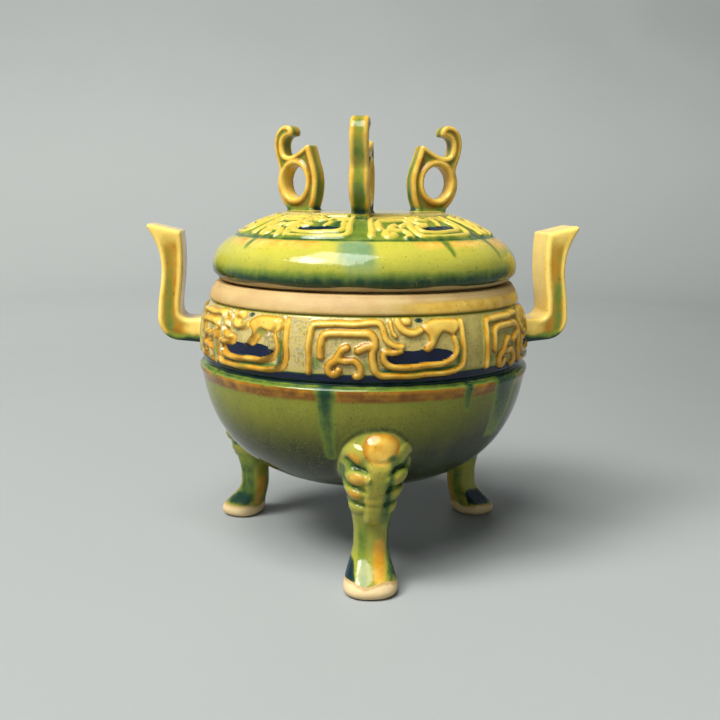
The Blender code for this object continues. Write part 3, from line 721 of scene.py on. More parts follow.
def lid_rings():
    disc = [(radius, DISC_TOP) for radius in (0.003, 0.010, 0.017, 0.024, 0.0285)]
    rings = [ring_at(0.0, DISC_TOP, 1)] + rings_along(disc, COARSE)
    edge = ((0.0298, DISC_TOP), (0.0307, DISC_TOP - 0.0004), (0.0311, DISC_TOP - 0.0010))
    rings += rings_along(edge, MEDIUM)
    u = panel_place(azimuths(FINE), LID_FRIEZE_TURN)
    for row in range(LID_ROWS + 1):
        v = 1 - row / LID_ROWS
        radius, height = lid_ground(v)
        lift = LID_RELIEF * relief_lift(u, v, LID_FRIEZE_WIDTH, LID_FRIEZE_DEPTH)
        radius = radius + lift * math.sin(LID_SLOPE)
        rings.append(ring_at(radius, height + lift * math.cos(LID_SLOPE), FINE))
    rings += rings_along(lid_dome(16, 0.0)[1:] + smooth_curve(LID_EDGE_CURVE, 2)[1:], MEDIUM)
    bottom = SEAT - FLANGE_DEPTH
    ceiling = DISC_TOP - LID_WALL
    edge = 0.0005
    flange = [
        (FLANGE_OUTER + edge, LID_FOOT), (FLANGE_OUTER, SEAT - edge), (FLANGE_OUTER, bottom + edge),
        (FLANGE_OUTER - edge, bottom), (FLANGE_INNER + edge, bottom), (FLANGE_INNER, bottom + edge),
        (FLANGE_INNER, SEAT + FLANGE_ROOT),
    ]
    under_disc = [(DISC_RADIUS - LID_WALL, ceiling), (0.014, ceiling)]
    rings += rings_along(flange + lid_dome(8, LID_WALL)[::-1] + under_disc, COARSE)
    rings.append(ring_at(0.0, ceiling, 1))
    return rings


LID_TOP_SIDE = [
    (0.0, SEAT - 0.02), (LID_SHOULDER_RADIUS, SEAT - 0.02), (LID_SHOULDER_RADIUS, LID_SHOULDER),
    *[lid_ground(share) for share in (0.25, 0.5, 0.75, 0.999)],
    (DISC_RADIUS, DISC_TOP), (0.0, DISC_TOP),
]


def limb_field(limb, body, blend, depth):
    """A limb with a soft fillet onto the body. Away from the limb the fillet sinks under the body's
    surface, and the root ends inside the wall."""
    joined = smooth_min(limb, body, blend) + SKIN
    return np.maximum(np.maximum(joined, limb - blend), -body - depth)


def leg_profile(height):
    """Front reach, back reach and half width of a leg at heights."""
    ankle_back = ANKLE_REACH - ANKLE_DEPTH
    foot = fade(0.0020, 0.0158, height)
    knee = ramp(ANKLE_HEIGHT, KNEE_HEIGHT, height)
    front = ANKLE_REACH + (FOOT_REACH - ANKLE_REACH) * foot**1.3
    front = front + (KNEE_REACH - ANKLE_REACH) * knee**0.8
    back = ankle_back + (FOOT_REACH - FOOT_LENGTH - ankle_back) * foot
    back = back + (LEG_ROOT_REACH - ankle_back) * knee
    half = ANKLE_HALF_WIDTH + (FOOT_HALF_WIDTH - ANKLE_HALF_WIDTH) * foot
    half = half + (KNEE_HALF_WIDTH - ANKLE_HALF_WIDTH) * knee
    return front, back, half


def mask_side(side, height):
    """Distance from the mask's own middle line, which leans away from the leg's."""
    return side - MASK_LEAN * ramp(0.0330, 0.0470, height)


def mask_lift(side, height):
    """Carving of the beast mask on a knee: side is the distance from the leg's middle line."""
    a = np.abs(mask_side(side, height))
    middle, half_width, half_height, rise = MASK_DOME
    lift = rise * ramp(0.0, 0.65, 1 - np.hypot(a / half_width, (height - middle) / half_height))
    trunk = segment_distance(a, height, (0.0, TRUNK_TOP), (0.0, TRUNK_FOOT))
    trunk_width = TRUNK_HALF_WIDTH + TRUNK_SPREAD * ramp(0.027, 0.044, height)
    trunk_rise = TRUNK_RISE * fade(0.0430, 0.0500, height)
    lift = np.maximum(lift, trunk_rise * fade(-0.0012, 0.0007, trunk - trunk_width))
    for rise, *oval in MASK_LOBES:
        lift = lift + rise * mound(a, height, *oval)
    for points, width, depth in MASK_CREASES:
        lift = lift - depth * bell(path_distance(a, height, smooth_curve(points, 3)), width)
    for up in TRUNK_CREASES:
        lift = lift - TRUNK_CREASE_DEPTH * bell(height - up, 0.0007) * fade(0.0026, 0.0036, a)
    return lift


def leg_field(x, y, z):
    """Distance to a leg that reaches out along -Y, before it meets the bowl."""
    height = np.clip(z, 0.0, KNEE_TOP)
    x = x + LEG_LEAN * (1 - height / KNEE_HEIGHT)
    front, back, half = leg_profile(height)
    reach = -y
    centre = (front + back) / 2
    depth = (front - back) / 2
    out = reach - centre
    lift = mask_lift(x, height) * ramp(0.0, 0.5, out / depth)
    lift = lift * ramp(0.021, 0.026, height) * fade(0.0545, 0.0575, z)
    p = LEG_SECTION_POWER
    rise = np.maximum((z - KNEE_HEIGHT) / (KNEE_TOP - KNEE_HEIGHT), 0.0)
    round_it = (np.abs(out / depth) ** p + np.abs(x / half) ** p + rise**p + 1e-9) ** (1 / p)
    side = (round_it - 1) * np.minimum(depth, half)
    return smooth_max(side - lift, -z, SOLE_ROUNDING)


def bowl_field(x, y, z):
    """Distance to the bowl's outer surface, negative in the wall and inside."""
    return outline_distance(np.hypot(x, y), z, [(0.0, RIM_HEIGHT)] + BOWL_SIDE)


def leg_with_root(x, y, z):
    return limb_field(leg_field(x, y, z), bowl_field(x, y, z), LEG_FILLET, WALL * ROOT_SHARE)


def ear_outline():
    """Side view of an ear: distance from the axis, and height."""
    inner = EAR_INNER_REACH
    outer = inner + EAR_BAR
    middle = (outer + 0.0014 - EAR_BAR, EAR_UNDERSIDE + 0.0012 + EAR_BAR)
    elbow = arc(middle, (EAR_BAR, EAR_BAR), -84, 0, 8)
    outside = smooth_curve([
        (outer + 0.0014, 0.0872), (outer + 0.0009, 0.0935), (outer + 0.0001, 0.0990),
        (outer - 0.0003, 0.1045), (outer + 0.0003, 0.1100), (outer + 0.0019, 0.1145),
        (outer + 0.0041, EAR_TOP - 0.0021), (outer + 0.0046, EAR_TOP - 0.0008),
        (outer + 0.0038, EAR_TOP),
    ], 4)
    inside = smooth_curve([
        (inner + 0.0004, 0.1179), (inner - 0.0001, 0.1120), (inner - 0.0001, 0.1050),
        (inner + 0.0005, 0.0983), (inner + 0.0011, 0.0930), (inner + 0.0012, 0.0900),
    ], 4)
    corner = arc((inner - 0.0018, EAR_STUB_TOP + 0.0030), (0.0030, 0.0030), 0, -90, 5)
    return (
        [(EAR_ROOT_REACH, EAR_UNDERSIDE)] + elbow + outside + inside + corner
        + [(EAR_ROOT_REACH, EAR_STUB_TOP)]
    )


def plate_field(outline, across, half_thickness, rounding):
    """Distance to a plate with rounded edges."""
    edge = outline + rounding
    face = np.abs(across) - half_thickness + rounding
    outside = np.hypot(np.maximum(edge, 0.0), np.maximum(face, 0.0))
    return outside + np.minimum(np.maximum(edge, face), 0.0) - rounding


def ear_place(x, y, ear):
    """Coordinates in an ear's own frame, where it reaches out along +X."""
    shift, turn = EARS[ear]
    if ear:
        x, y = -x, -y
    x = x - shift - EAR_TURN_REACH
    reach = x * math.cos(turn) + y * math.sin(turn) + EAR_TURN_REACH
    return reach, y * math.cos(turn) - x * math.sin(turn)


def ear_groove(x, z, outline):
    """How far a spot of an ear's face lies in its sunk panel, which fades at both ends."""
    along = ramp(0.0630, 0.0690, x) * fade(0.1110, 0.1180, z)
    return ramp(0.0010, 0.0026, -outline) * along


def ear_field(x, y, z, ear):
    """Distance to an ear: its sunk faces look along Y."""
    x, y = ear_place(x, y, ear)
    outline = outline_distance(x, z, ear_outline())
    half = EAR_WIDTH / 2 - EAR_PANEL_DEPTH * ear_groove(x, z, outline)
    return plate_field(outline, y, half, EAR_ROUNDING)


def ear_with_root(ear):
    def field(x, y, z):
        body = bowl_field(x, y, z)
        return limb_field(ear_field(x, y, z, ear), body, EAR_FILLET, WALL * ROOT_SHARE)
    return field


def knob_outline():
    """Side view of a scroll knob: distance from the axis, and height above the disc."""
    points = [(KNOB_CENTRE_REACH + KNOB_HALF_WIDTH * a, KNOB_HEIGHT * b) for a, b in KNOB_SIDE]
    return smooth_curve(points, 3, closed=True)


def knob_place(x, y):
    """Distance out and across in a knob's own frame; it reaches out along -Y, twisted a little."""
    y = y + HOLE_REACH
    across = x * math.cos(KNOB_TWIST) + y * math.sin(KNOB_TWIST)
    return HOLE_REACH - y * math.cos(KNOB_TWIST) + x * math.sin(KNOB_TWIST), across


def hole_field(reach, height):
    aside = (reach - HOLE_REACH) / HOLE_HALF_WIDTH
    above = (height - HOLE_HEIGHT) / HOLE_HALF_HEIGHT
    return (np.hypot(aside, above) - 1) * HOLE_HALF_WIDTH


def knob_field(x, y, z):
    """Distance to a knob, before it meets the lid."""
    reach, across = knob_place(x, y)
    height = z - DISC_TOP
    outline = outline_distance(reach, height, knob_outline())
    hole = hole_field(reach, height)
    border = np.abs(-outline - 0.0009)
    ring = np.abs(hole - 0.0012)
    groove = ramp(0.0008, 0.0018, np.minimum(border, ring))
    lift = RING_LIFT * bell(ring, 0.0009)
    half = KNOB_THICKNESS / 2 - KNOB_PANEL_DEPTH * groove + lift
    spine = KNOB_SPINE * bell(across, 0.0013)
    flat = smooth_max(outline + spine, -hole, HOLE_ROUNDING)
    return plate_field(flat, across, half, KNOB_ROUNDING)


def lid_top_field(x, y, z):
    return outline_distance(np.hypot(x, y), z, LID_TOP_SIDE)


def knob_with_root(x, y, z):
    body = lid_top_field(x, y, z)
    return limb_field(knob_field(x, y, z), body, KNOB_FILLET, LID_WALL * KNOB_ROOT_SHARE)


def join(piece, limbs):
    """Unites the limbs with the piece's own mesh and removes them."""
    for index, limb in enumerate(limbs):
        modifier = piece.modifiers.new(f"limb_{index}", "BOOLEAN")
        modifier.operation = "UNION"
        modifier.solver = "MANIFOLD"
        modifier.object = limb
    bpy.context.view_layer.update()
    graph = bpy.context.evaluated_depsgraph_get()
    mesh = bpy.data.meshes.new_from_object(piece.evaluated_get(graph))
    piece.modifiers.clear()
    piece.data = mesh
    mesh.materials.clear()
    for limb in limbs:
        bpy.data.objects.remove(limb, do_unlink=True)
    mesh.shade_smooth()
    return piece


def copies(name, points, faces, count, turn=0.0):
    """The same limb, repeated at even steps round the axis."""
    limbs = []
    for index in range(count):
        matrix = np.array(Matrix.Rotation(turn + index * 2 * math.pi / count, 3, "Z"))
        limbs.append(new_piece(f"{name}_{index}", points @ matrix.T, faces))
    return limbs


def make_bowl():
    piece = turned_mesh("glazed_bowl", bowl_rings())
    limbs = copies("leg", *surface_net(leg_with_root, *LEG_GRID), LEGS)
    for ear, grid in enumerate(EAR_GRIDS):
        limbs.append(new_piece(f"ear_{ear}", *surface_net(ear_with_root(ear), *grid)))
    return join(piece, limbs)


def make_lid():
    piece = turned_mesh("glazed_lid", lid_rings())
    return join(piece, copies("knob", *surface_net(knob_with_root, *KNOB_GRID), KNOBS, LID_TURN))


def points_of(piece):
    points = np.empty(len(piece.data.vertices) * 3)
    piece.data.vertices.foreach_get("co", points)
    return points.reshape(-1, 3)


def store(piece, layers):
    """Keeps each layer as a number on every point, for the glaze to read."""
    count = len(piece.data.vertices)
    for name, values in layers.items():
        layer = piece.data.attributes.new(name, "FLOAT", "POINT")
        layer.data.foreach_set("value", np.broadcast_to(values, count).astype(np.float32))


def turned(points, angle):
    """Coordinates of the points in the frame of a limb that stands at an angle round the axis."""
    x, y, z = points.T
    return x * math.cos(angle) + y * math.sin(angle), y * math.cos(angle) - x * math.sin(angle), z


def band(value, low, high, soft):
    """1 between two values, falling to 0 beyond them."""
    return ramp(low - soft, low + soft, value) * fade(high - soft, high + soft, value)


def drips(phi, height, top, runs):
    """Runs of glaze down the side."""
    laid = 0.0
    for middle, half_width, bottom in runs:
        share = np.clip((top - height) / (top - bottom), 0.0, 1.0)
        width = half_width * (1.15 - 0.45 * share)
        inside = fade(width * 0.45, width * 1.35, np.abs(phi - middle))
        laid = np.maximum(laid, inside * band(height, bottom, top, 0.0016) * (1 - 0.35 * share))
    return laid


def spot(u, v, middle_u, middle_v, reach_u, reach_v):
    """1 in the middle of an oval, falling softly to 0."""
    return np.exp(-(((u - middle_u) / reach_u) ** 2) - ((v - middle_v) / reach_v) ** 2)


def spots(u, v, table):
    return most(*(strength * spot(u, v, *oval) for strength, *oval in table))


def lay(layers, **values):
    """Raises each named layer to a value wherever that is the greater."""
    for name, value in values.items():
        layers[name] = np.maximum(layers[name], value)


def nearest(limbs):
    """The values of the limb nearest to each point, from a row for each limb, distance first."""
    best = limbs[0]
    for row in limbs[1:]:
        nearer = row[0] < best[0]
        best = [np.where(nearer, new, old) for new, old in zip(row, best)]
    return best


def frieze_layers(u, v, on_frieze, width, height, pooled):
    """Glaze on the moulded panels; it is pooled below them where they stand upright."""
    ridge = relief_lift(u, v, width, height) / RIDGE_HEIGHT
    recess = fade(0.10, 0.50, ridge)
    basin = most(*(mound(u, v, *oval) for oval in BASINS))
    lower_gap = band(v, 0.11, 0.22, 0.04) * band(u, 0.45, 0.91, 0.02)
    right_gap = band(u, 0.875, 0.905, 0.015) * band(v, 0.15, 0.62, 0.08)
    foot = fade(0.06, 0.15, v)
    greens = most(0.9 * lower_gap, 0.8 * right_gap, spots(u, v, GREEN_SPOTS))
    tinted = most(spots(u, v, TINTED_SPOTS), 0.42 * spot(u, v, 0.62, 0.11, 0.10, 0.06) * pooled)
    pools = most(
        ramp(0.15, 0.55, basin), 0.75 * spot(u, v, 0.665, 0.95, 0.03, 0.05), 0.9 * foot * pooled,
        0.55 * lower_gap * spot(u, v, 0.88, 0.14, 0.06, 0.1),
    )
    # Crest rises on the ridge tops and towards the frieze's top edge. On the ridges this is partly
    # thin glaze and partly painted highlight on the tops, with painted shade at the ridge edges
    crest = np.clip(0.62 * ramp(0.10, 0.85, ridge) + 0.30 * ramp(0.3, 1.1, v), 0.0, 1.0)
    return {
        "amber": on_frieze * ramp(0.08, 0.42, ridge),
        "crest": on_frieze * crest,
        "green": on_frieze * np.maximum(recess * greens, tinted * (1 - recess)),
        "cobalt": on_frieze * recess * pools,
        "pale": on_frieze * recess * (0.90 - 0.35 * basin) * (1 - foot * pooled),
    }


def ear_row(x, y, z, ear):
    """Distance to an ear, the share of its sunk panel, the reach out and the share of its face."""
    reach, across = ear_place(x, y, ear)
    sunk = ear_groove(reach, z, outline_distance(reach, z, ear_outline()))
    face = ramp(EAR_WIDTH / 2 - 0.0026, EAR_WIDTH / 2 - 0.0008, np.abs(across))
    return ear_field(x, y, z, ear), sunk, reach, face


def leg_row(points, leg):
    """Distance to a leg, the distances aside and out, and the height of its carving."""
    x, y, z = turned(points, leg * 2 * math.pi / LEGS)
    side = x + LEG_LEAN * (1 - z / KNEE_HEIGHT)
    return leg_field(x, y, z), side, -y, mask_lift(side, z)


def knob_row(points, knob):
    """Distance to a knob, to its outline and its hole, and the distance aside."""
    x, y, z = turned(points, LID_TURN + knob * 2 * math.pi / KNOBS)
    reach, across = knob_place(x, y)
    height = z - DISC_TOP
    outline = outline_distance(reach, height, knob_outline())
    return knob_field(x, y, z), outline, hole_field(reach, height), across


def lay_ears(layers, on_ear, radius, z, sunk, reach, face):
    elbow = fade(0.0785, 0.0880, z)
    inner_elbow = fade(0.0780, 0.0815, z) * fade(0.066, 0.073, radius)
    stub = fade(0.0655, 0.0690, radius) * ramp(0.0800, 0.0830, z)
    streak = bell(reach - EAR_INNER_REACH - 0.0052, 0.0019) * band(z, 0.0800, 0.1130, 0.0040)
    streak_share = 0.26 + 0.14 * fade(0.0900, 0.1080, z)
    underside = fade(EAR_UNDERSIDE + 0.0012, EAR_UNDERSIDE + 0.0054, z)
    inner_face = (1 - face) * fade(EAR_INNER_REACH + 0.0016, EAR_INNER_REACH + 0.0034, reach)
    crest = 1.30 - 0.78 * face * sunk - 0.35 * elbow * (1 - stub)
    green = face * (0.15 * sunk + streak_share * streak) + 0.85 * underside
    lay(
        layers,
        amber=on_ear * (1 - 0.25 * elbow),
        crest=on_ear * np.clip(crest, 0.0, 1.3),
        green=on_ear * np.clip(green, 0.0, 0.95),
        cobalt=on_ear * np.maximum(0.62 * inner_elbow, 0.40 * underside),
        pale=on_ear * np.maximum(0.80 * inner_face * ramp(0.088, 0.094, z), 0.55 * stub),
    )


def lay_legs(layers, on_leg, z, side, out, lift):
    middle = mask_side(side, z)
    hollow = ramp(0.0004, -0.0006, lift)
    high = ramp(0.0004, 0.0014, lift)
    dome = ramp(0.0, 0.45, 1 - np.hypot(middle / 0.0080, (z - 0.0510) / 0.0068))
    # Painted shade: dark green in the groove on the right side of the trunk only
    shaded_gutter = bell(middle - 0.0043, 0.0010) * band(z, 0.0260, 0.0440, 0.0030)
    trunk = fade(0.0028, 0.0042, np.abs(middle)) * band(z, 0.0245, 0.0440, 0.0020)
    # Painted shade: the lobes carry less amber on the leg's right side
    lobes = high * ramp(0.0036, 0.0050, np.abs(middle)) * (1 - 0.45 * ramp(0.0, 0.0040, side))
    brow = spot(middle, z, -0.0090, 0.0468, 0.0026, 0.0030)
    knee_amber = most(dome, 0.75 * lobes, 0.22 + 0.16 * high, 0.90 * brow)
    knee_green = 0.60 * spot(middle, z, 0.0036, 0.0478, 0.0018, 0.0012) + 0.50 * hollow + 0.20
    knee_green = knee_green + 0.16 * trunk - 0.20 * dome + 0.50 * shaded_gutter
    # Painted shade: the knee turns greener towards its right side
    knee_green = knee_green + 0.12 * ramp(0.0, 0.0060, middle)
    knee_crest = 0.28 + 0.34 * high + 0.10 * dome - 0.28 * hollow

    shank = fade(0.0205, 0.0255, z)
    knee = 1 - shank
    left_streak = band(side, -0.0046, -0.0014, 0.0012)
    right_streak = band(side, 0.0006, 0.0046, 0.0011) * fade(0.0150, 0.0215, z)
    # Painted shade: a dark green band down the shank's right edge
    shaded_right_edge = 0.80 * ramp(0.0044, 0.0058, side) * ramp(0.0050, 0.0080, z)
    shank_green = np.maximum(0.16 + 0.38 * left_streak, shaded_right_edge)
    leg_amber = knee_amber * knee + shank * np.maximum(0.85 * right_streak, 0.20)
    heel = fade(0.0480, 0.0530, out)
    low_flank = ramp(0.0046, 0.0066, np.abs(side)) * band(z, 0.0048, 0.0120, 0.0020)
    flank_share = np.where(side < 0, 0.72, 0.50)
    lay(
        layers,
        amber=on_leg * (leg_amber * ramp(0.0030, 0.0070, z)),
        crest=on_leg * np.clip(knee * knee_crest + shank * 0.62, 0.0, 1.0),
        green=on_leg * (knee * knee_green + shank * shank_green),
        cobalt=on_leg * np.maximum(low_flank * flank_share, 0.3 * shank * heel),
    )
    layers["olive"] = on_leg * (1 - 0.45 * shank)


def bowl_layers(points):
    x, y, z = points.T
    radius = np.hypot(x, y)
    azimuth = np.arctan2(x, -y)
    phi = np.degrees(azimuth)
    ear, *ear_values = nearest([ear_row(x, y, z, index) for index in range(len(EARS))])
    leg, *leg_values = nearest([leg_row(points, index) for index in range(LEGS)])
    on_ear = fade(0.0003, 0.0020, ear)
    on_leg = fade(0.0002, 0.0012, leg) * (z < KNEE_TOP + 0.002)
    outer = ramp(-0.0022, -0.0012, bowl_field(x, y, z))
    on_body = outer * (1 - on_ear) * (1 - on_leg)
    on_frieze = on_body * band(z, FRIEZE_FOOT - 0.0003, FRIEZE_TOP, 0.0003)
    u = bowl_panel_place(azimuth)
    v = (z - FRIEZE_FOOT) / FRIEZE_TALL
    layers = frieze_layers(u, v, on_frieze, FRIEZE_WIDTH, FRIEZE_TALL, 1.0)
    # Painted light: the cream in the recesses fades towards the right, away from the lamps
    layers["pale"] = layers["pale"] * (1 - 0.38 * ramp(-15.0, 55.0, phi))

    rim = outer * (1 - on_ear) * ramp(BAND_FOOT - 0.0004, BAND_FOOT + 0.0002, z)
    rim_foot = rim * fade(BAND_FOOT + 0.0006, BAND_FOOT + 0.0036, z)
    rim_wash = rim * band(phi, -2.0, 140.0, 30.0) * fade(BAND_FOOT + 0.0030, RIM_HEIGHT, z)
    pool = on_body * band(z, FILLET_TOP + 0.0003, FRIEZE_FOOT + 0.0006, 0.0005)
    fillet = on_body * band(z, FILLET_FOOT - 0.0004, FILLET_TOP - 0.0008, 0.0006)
    belly = on_body * fade(FILLET_FOOT - 0.0010, FILLET_FOOT + 0.0002, z)
    runs = drips(phi, z, FILLET_TOP + 0.0015, BOWL_RUNS) * on_body * (z < FRIEZE_FOOT)
    halo = on_body * bell(z - FILLET_TOP + 0.0001, 0.0007)
    root = on_body * (z < 0.060) * bell(leg - 0.0010, 0.0012)
    lay(
        layers,
        amber=most(0.95 * fillet, 0.50 * rim_foot, 0.75 * rim_wash),
        crest=np.maximum(0.22 * fillet, 0.75 * rim),
        green=most(0.95 * pool, 0.98 * runs, 0.80 * halo, 0.26 * root),
        cobalt=0.66 * pool,
    )
    lay_ears(layers, on_ear, radius, z, *ear_values)
    lay_legs(layers, on_leg, z, *leg_values)

    toe = 0.0045 + 0.0008 * np.cos(np.radians(2.5 * phi)) + 0.0006 * np.sin(np.radians(31 * phi))
    bare_toe = (z < 0.02) * fade(toe - 0.0004, toe + 0.0004, z)
    layers["bare"] = most(1 - outer, rim * (1 - 0.62 * rim_wash), bare_toe)
    # Painted shade: the belly grows darker towards the bottom, on the right and at the back. The
    # depth layer also carries the glaze pooled at the leg roots
    shade_side = 0.60 * ramp(0.0, 75.0, phi) + 0.30 * (np.abs(phi) > 100)
    shade = belly * np.clip(ramp(0.0680, 0.0390, z) + shade_side, 0.0, 1.0)
    layers["depth"] = most(shade, 0.12 * on_frieze, 0.95 * root)
    lay(layers, pale=(z < toe - 0.0008) * on_leg)
    return layers


def lay_knobs(layers, on_knob, z, outline, ring, across):
    half = KNOB_THICKNESS / 2
    face = ramp(half - 0.0014, half - 0.0006, np.abs(across))
    sunk = face * ramp(0.0011, 0.0020, -outline) * ramp(0.0016, 0.0028, ring)
    stripe = (1 - face) * np.exp(-((across / 0.0021) ** 4)) * ramp(-0.0012, -0.0004, outline)
    # Painted shade: the knob's rounded edges get a darker amber, both sides alike
    corner = (1 - face) * ramp(0.0018, 0.0026, np.abs(across))
    foot = fade(DISC_TOP, DISC_TOP + 0.0045, z)
    low_half = fade(DISC_TOP + 0.0060, DISC_TOP + 0.0160, z)
    crest = 0.86 - 0.70 * sunk - 0.20 * stripe - 0.30 * foot - 0.34 * corner
    green = 0.08 + most((0.42 + 0.22 * low_half) * stripe, 0.34 * sunk, 0.52 * foot)
    lay(
        layers,
        amber=on_knob,
        crest=on_knob * np.clip(crest, 0.0, 1.0),
        green=on_knob * green,
        cobalt=on_knob * foot * (0.36 + 0.36 * stripe),
    )
    layers["olive"] = 0.3 * on_knob


def lid_layers(points):
    x, y, z = points.T
    radius = np.hypot(x, y)
    azimuth = np.arctan2(x, -y)
    phi = np.degrees(azimuth)
    knob, *knob_values = nearest([knob_row(points, index) for index in range(KNOBS)])
    on_knob = fade(0.0003, 0.0012, knob) * ramp(DISC_TOP - 0.001, DISC_TOP + 0.0005, z)
    skin = (radius > LID_RADIUS - LID_WALL * 0.6) | (lid_top_field(x, y, z) > -0.0012)
    outside = ramp(LID_FOOT + 0.0001, LID_FOOT + 0.0005, z) * (skin | (on_knob > 0.5))
    on_body = outside * (1 - on_knob)
    share = (LID_SHOULDER_RADIUS - radius) / (LID_SHOULDER_RADIUS - DISC_RADIUS)
    on_frieze = on_body * band(share, 0.0, 1.0, 0.02) * (z > LID_SHOULDER - 0.001)
    u = panel_place(azimuth, LID_FRIEZE_TURN)
    layers = frieze_layers(u, share, on_frieze, LID_FRIEZE_WIDTH, LID_FRIEZE_DEPTH, 0.0)
    ground = on_frieze * (1 - layers["amber"])
    for name, part in (("pale", 0.45), ("cobalt", 0.75), ("amber", 0.48)):
        layers[name] = part * layers[name]
    tide = 0.65 + 0.35 * np.sin(np.radians(5 * phi)) ** 2
    lay(layers, green=0.84 * ground * tide, crest=0.95 * on_frieze)

    side = on_body * fade(LID_SHOULDER - 0.0008, LID_SHOULDER + 0.0004, z)
    disc = on_body * fade(DISC_RADIUS - 0.0004, DISC_RADIUS + 0.0004, radius)
    disc_edge = disc * ramp(DISC_RADIUS - 0.0040, DISC_RADIUS - 0.0010, radius)
    height = (z - SEAT) / (LID_SHOULDER - SEAT)
    warm = most(*(
        band(phi, low, high, 5.0) * ramp(start, start + 0.30, height)
        for low, high, start in LID_AMBER
    ))
    runs = drips(phi, z, LID_SHOULDER + 0.0010, LID_RUNS)
    sheet = 0.80 * band(phi - 5.0 * (1 - height), -15.0, -1.5, 4.5) * side * ramp(0.0, 0.8, height)
    lip = side * fade(0.18, 0.58, height)
    border = on_body * bell(radius - LID_SHOULDER_RADIUS, 0.0008) * (z > LID_SHOULDER - 0.002)
    inner_line = on_body * bell(radius - DISC_RADIUS - 0.0007, 0.0006) * (z > DISC_FOOT - 0.001)
    lay(
        layers,
        amber=most(side * 0.80 * warm, 0.16 * disc, 0.30 * disc_edge),
        crest=np.maximum(0.78 * side, 0.55 * disc),
        green=most(
            0.80 * runs * side, 0.86 * border, 0.60 * inner_line, 0.98 * lip, 0.12 * disc,
            0.55 * sheet,
        ),
        cobalt=0.40 * lip * fade(0.10, 0.36, height),
        pale=0.75 * disc,
    )
    layers["jade"] = sheet
    lay_knobs(layers, on_knob, z, *knob_values)

    chips = side * band(phi, 33.0, 78.0, 4.0) * fade(0.05, 0.16, height)
    wave = 0.0003 * np.sin(np.radians(11 * phi))
    strip = side * fade(SEAT + 0.0014, SEAT + 0.0022, z + wave)
    layers["bare"] = most(1 - outside, 0.8 * chips, strip)
    layers["depth"] = 0.85 * side * fade(0.1, 0.85, height)
    return layers


class Network:
    """Short calls for building a node material."""

    def __init__(self, name):
        self.material = bpy.data.materials.new(name)
        self.material.use_nodes = True
        self.nodes = self.material.node_tree.nodes
        self.links = self.material.node_tree.links
        self.shader = self.nodes["Principled BSDF"]
        self.place = self.node("ShaderNodeTexCoord", "Object")

    def put(self, socket, value):
        if isinstance(value, bpy.types.NodeSocket):
            self.links.new(value, socket)
        elif socket.type == "RGBA":
            socket.default_value = (*value, 1.0)
        else:
            socket.default_value = value

    def node(self, kind, output, settings=None, inputs=None):
        made = self.nodes.new(kind)
        for key, value in (settings or {}).items():
            setattr(made, key, value)
        for key, value in (inputs or {}).items():
            self.put(made.inputs[key], value)
        return made.outputs[output]

    def layer(self, name):
        return self.node("ShaderNodeAttribute", "Fac", {"attribute_name": name})

    def stretched(self, scale):
        settings = {"operation": "MULTIPLY"}
        return self.node("ShaderNodeVectorMath", 0, settings, {0: self.place, 1: scale})

    def noise(self, scale, detail=2.0, place=None):
        inputs = {"Vector": place or self.place, "Scale": scale, "Detail": detail}
        return self.node("ShaderNodeTexNoise", "Fac", None, inputs)

    def math(self, operation, a, b=0.0):
        return self.node("ShaderNodeMath", 0, {"operation": operation}, {0: a, 1: b})

    def times(self, a, b):
        return self.math("MULTIPLY", a, b)

    def plus(self, a, b):
        return self.math("ADD", a, b)

    def step(self, value, low, high, start=0.0, end=1.0):
        inputs = {"Value": value, 1: low, 2: high, 3: start, 4: end}
        return self.node("ShaderNodeMapRange", 0, {"interpolation_type": "SMOOTHSTEP"}, inputs)

    def mix(self, share, a, b):
        """A share of the second of two colours laid over the first."""
        return self.node("ShaderNodeMix", 2, {"data_type": "RGBA"}, {0: share, 6: a, 7: b})

    def coat(self, under, value, low, high, paint, strength=1.0):
        """Paint laid over what is under it, more of it as the value passes from low to high."""
        return self.mix(self.step(value, low, high, 0.0, strength), under, paint)

    def wavering(self, value, noises):
        """A value moved by noises, each with its own reach."""
        for noise, reach in noises:
            value = self.plus(value, self.times(self.math("SUBTRACT", noise, 0.5), reach))
        return value


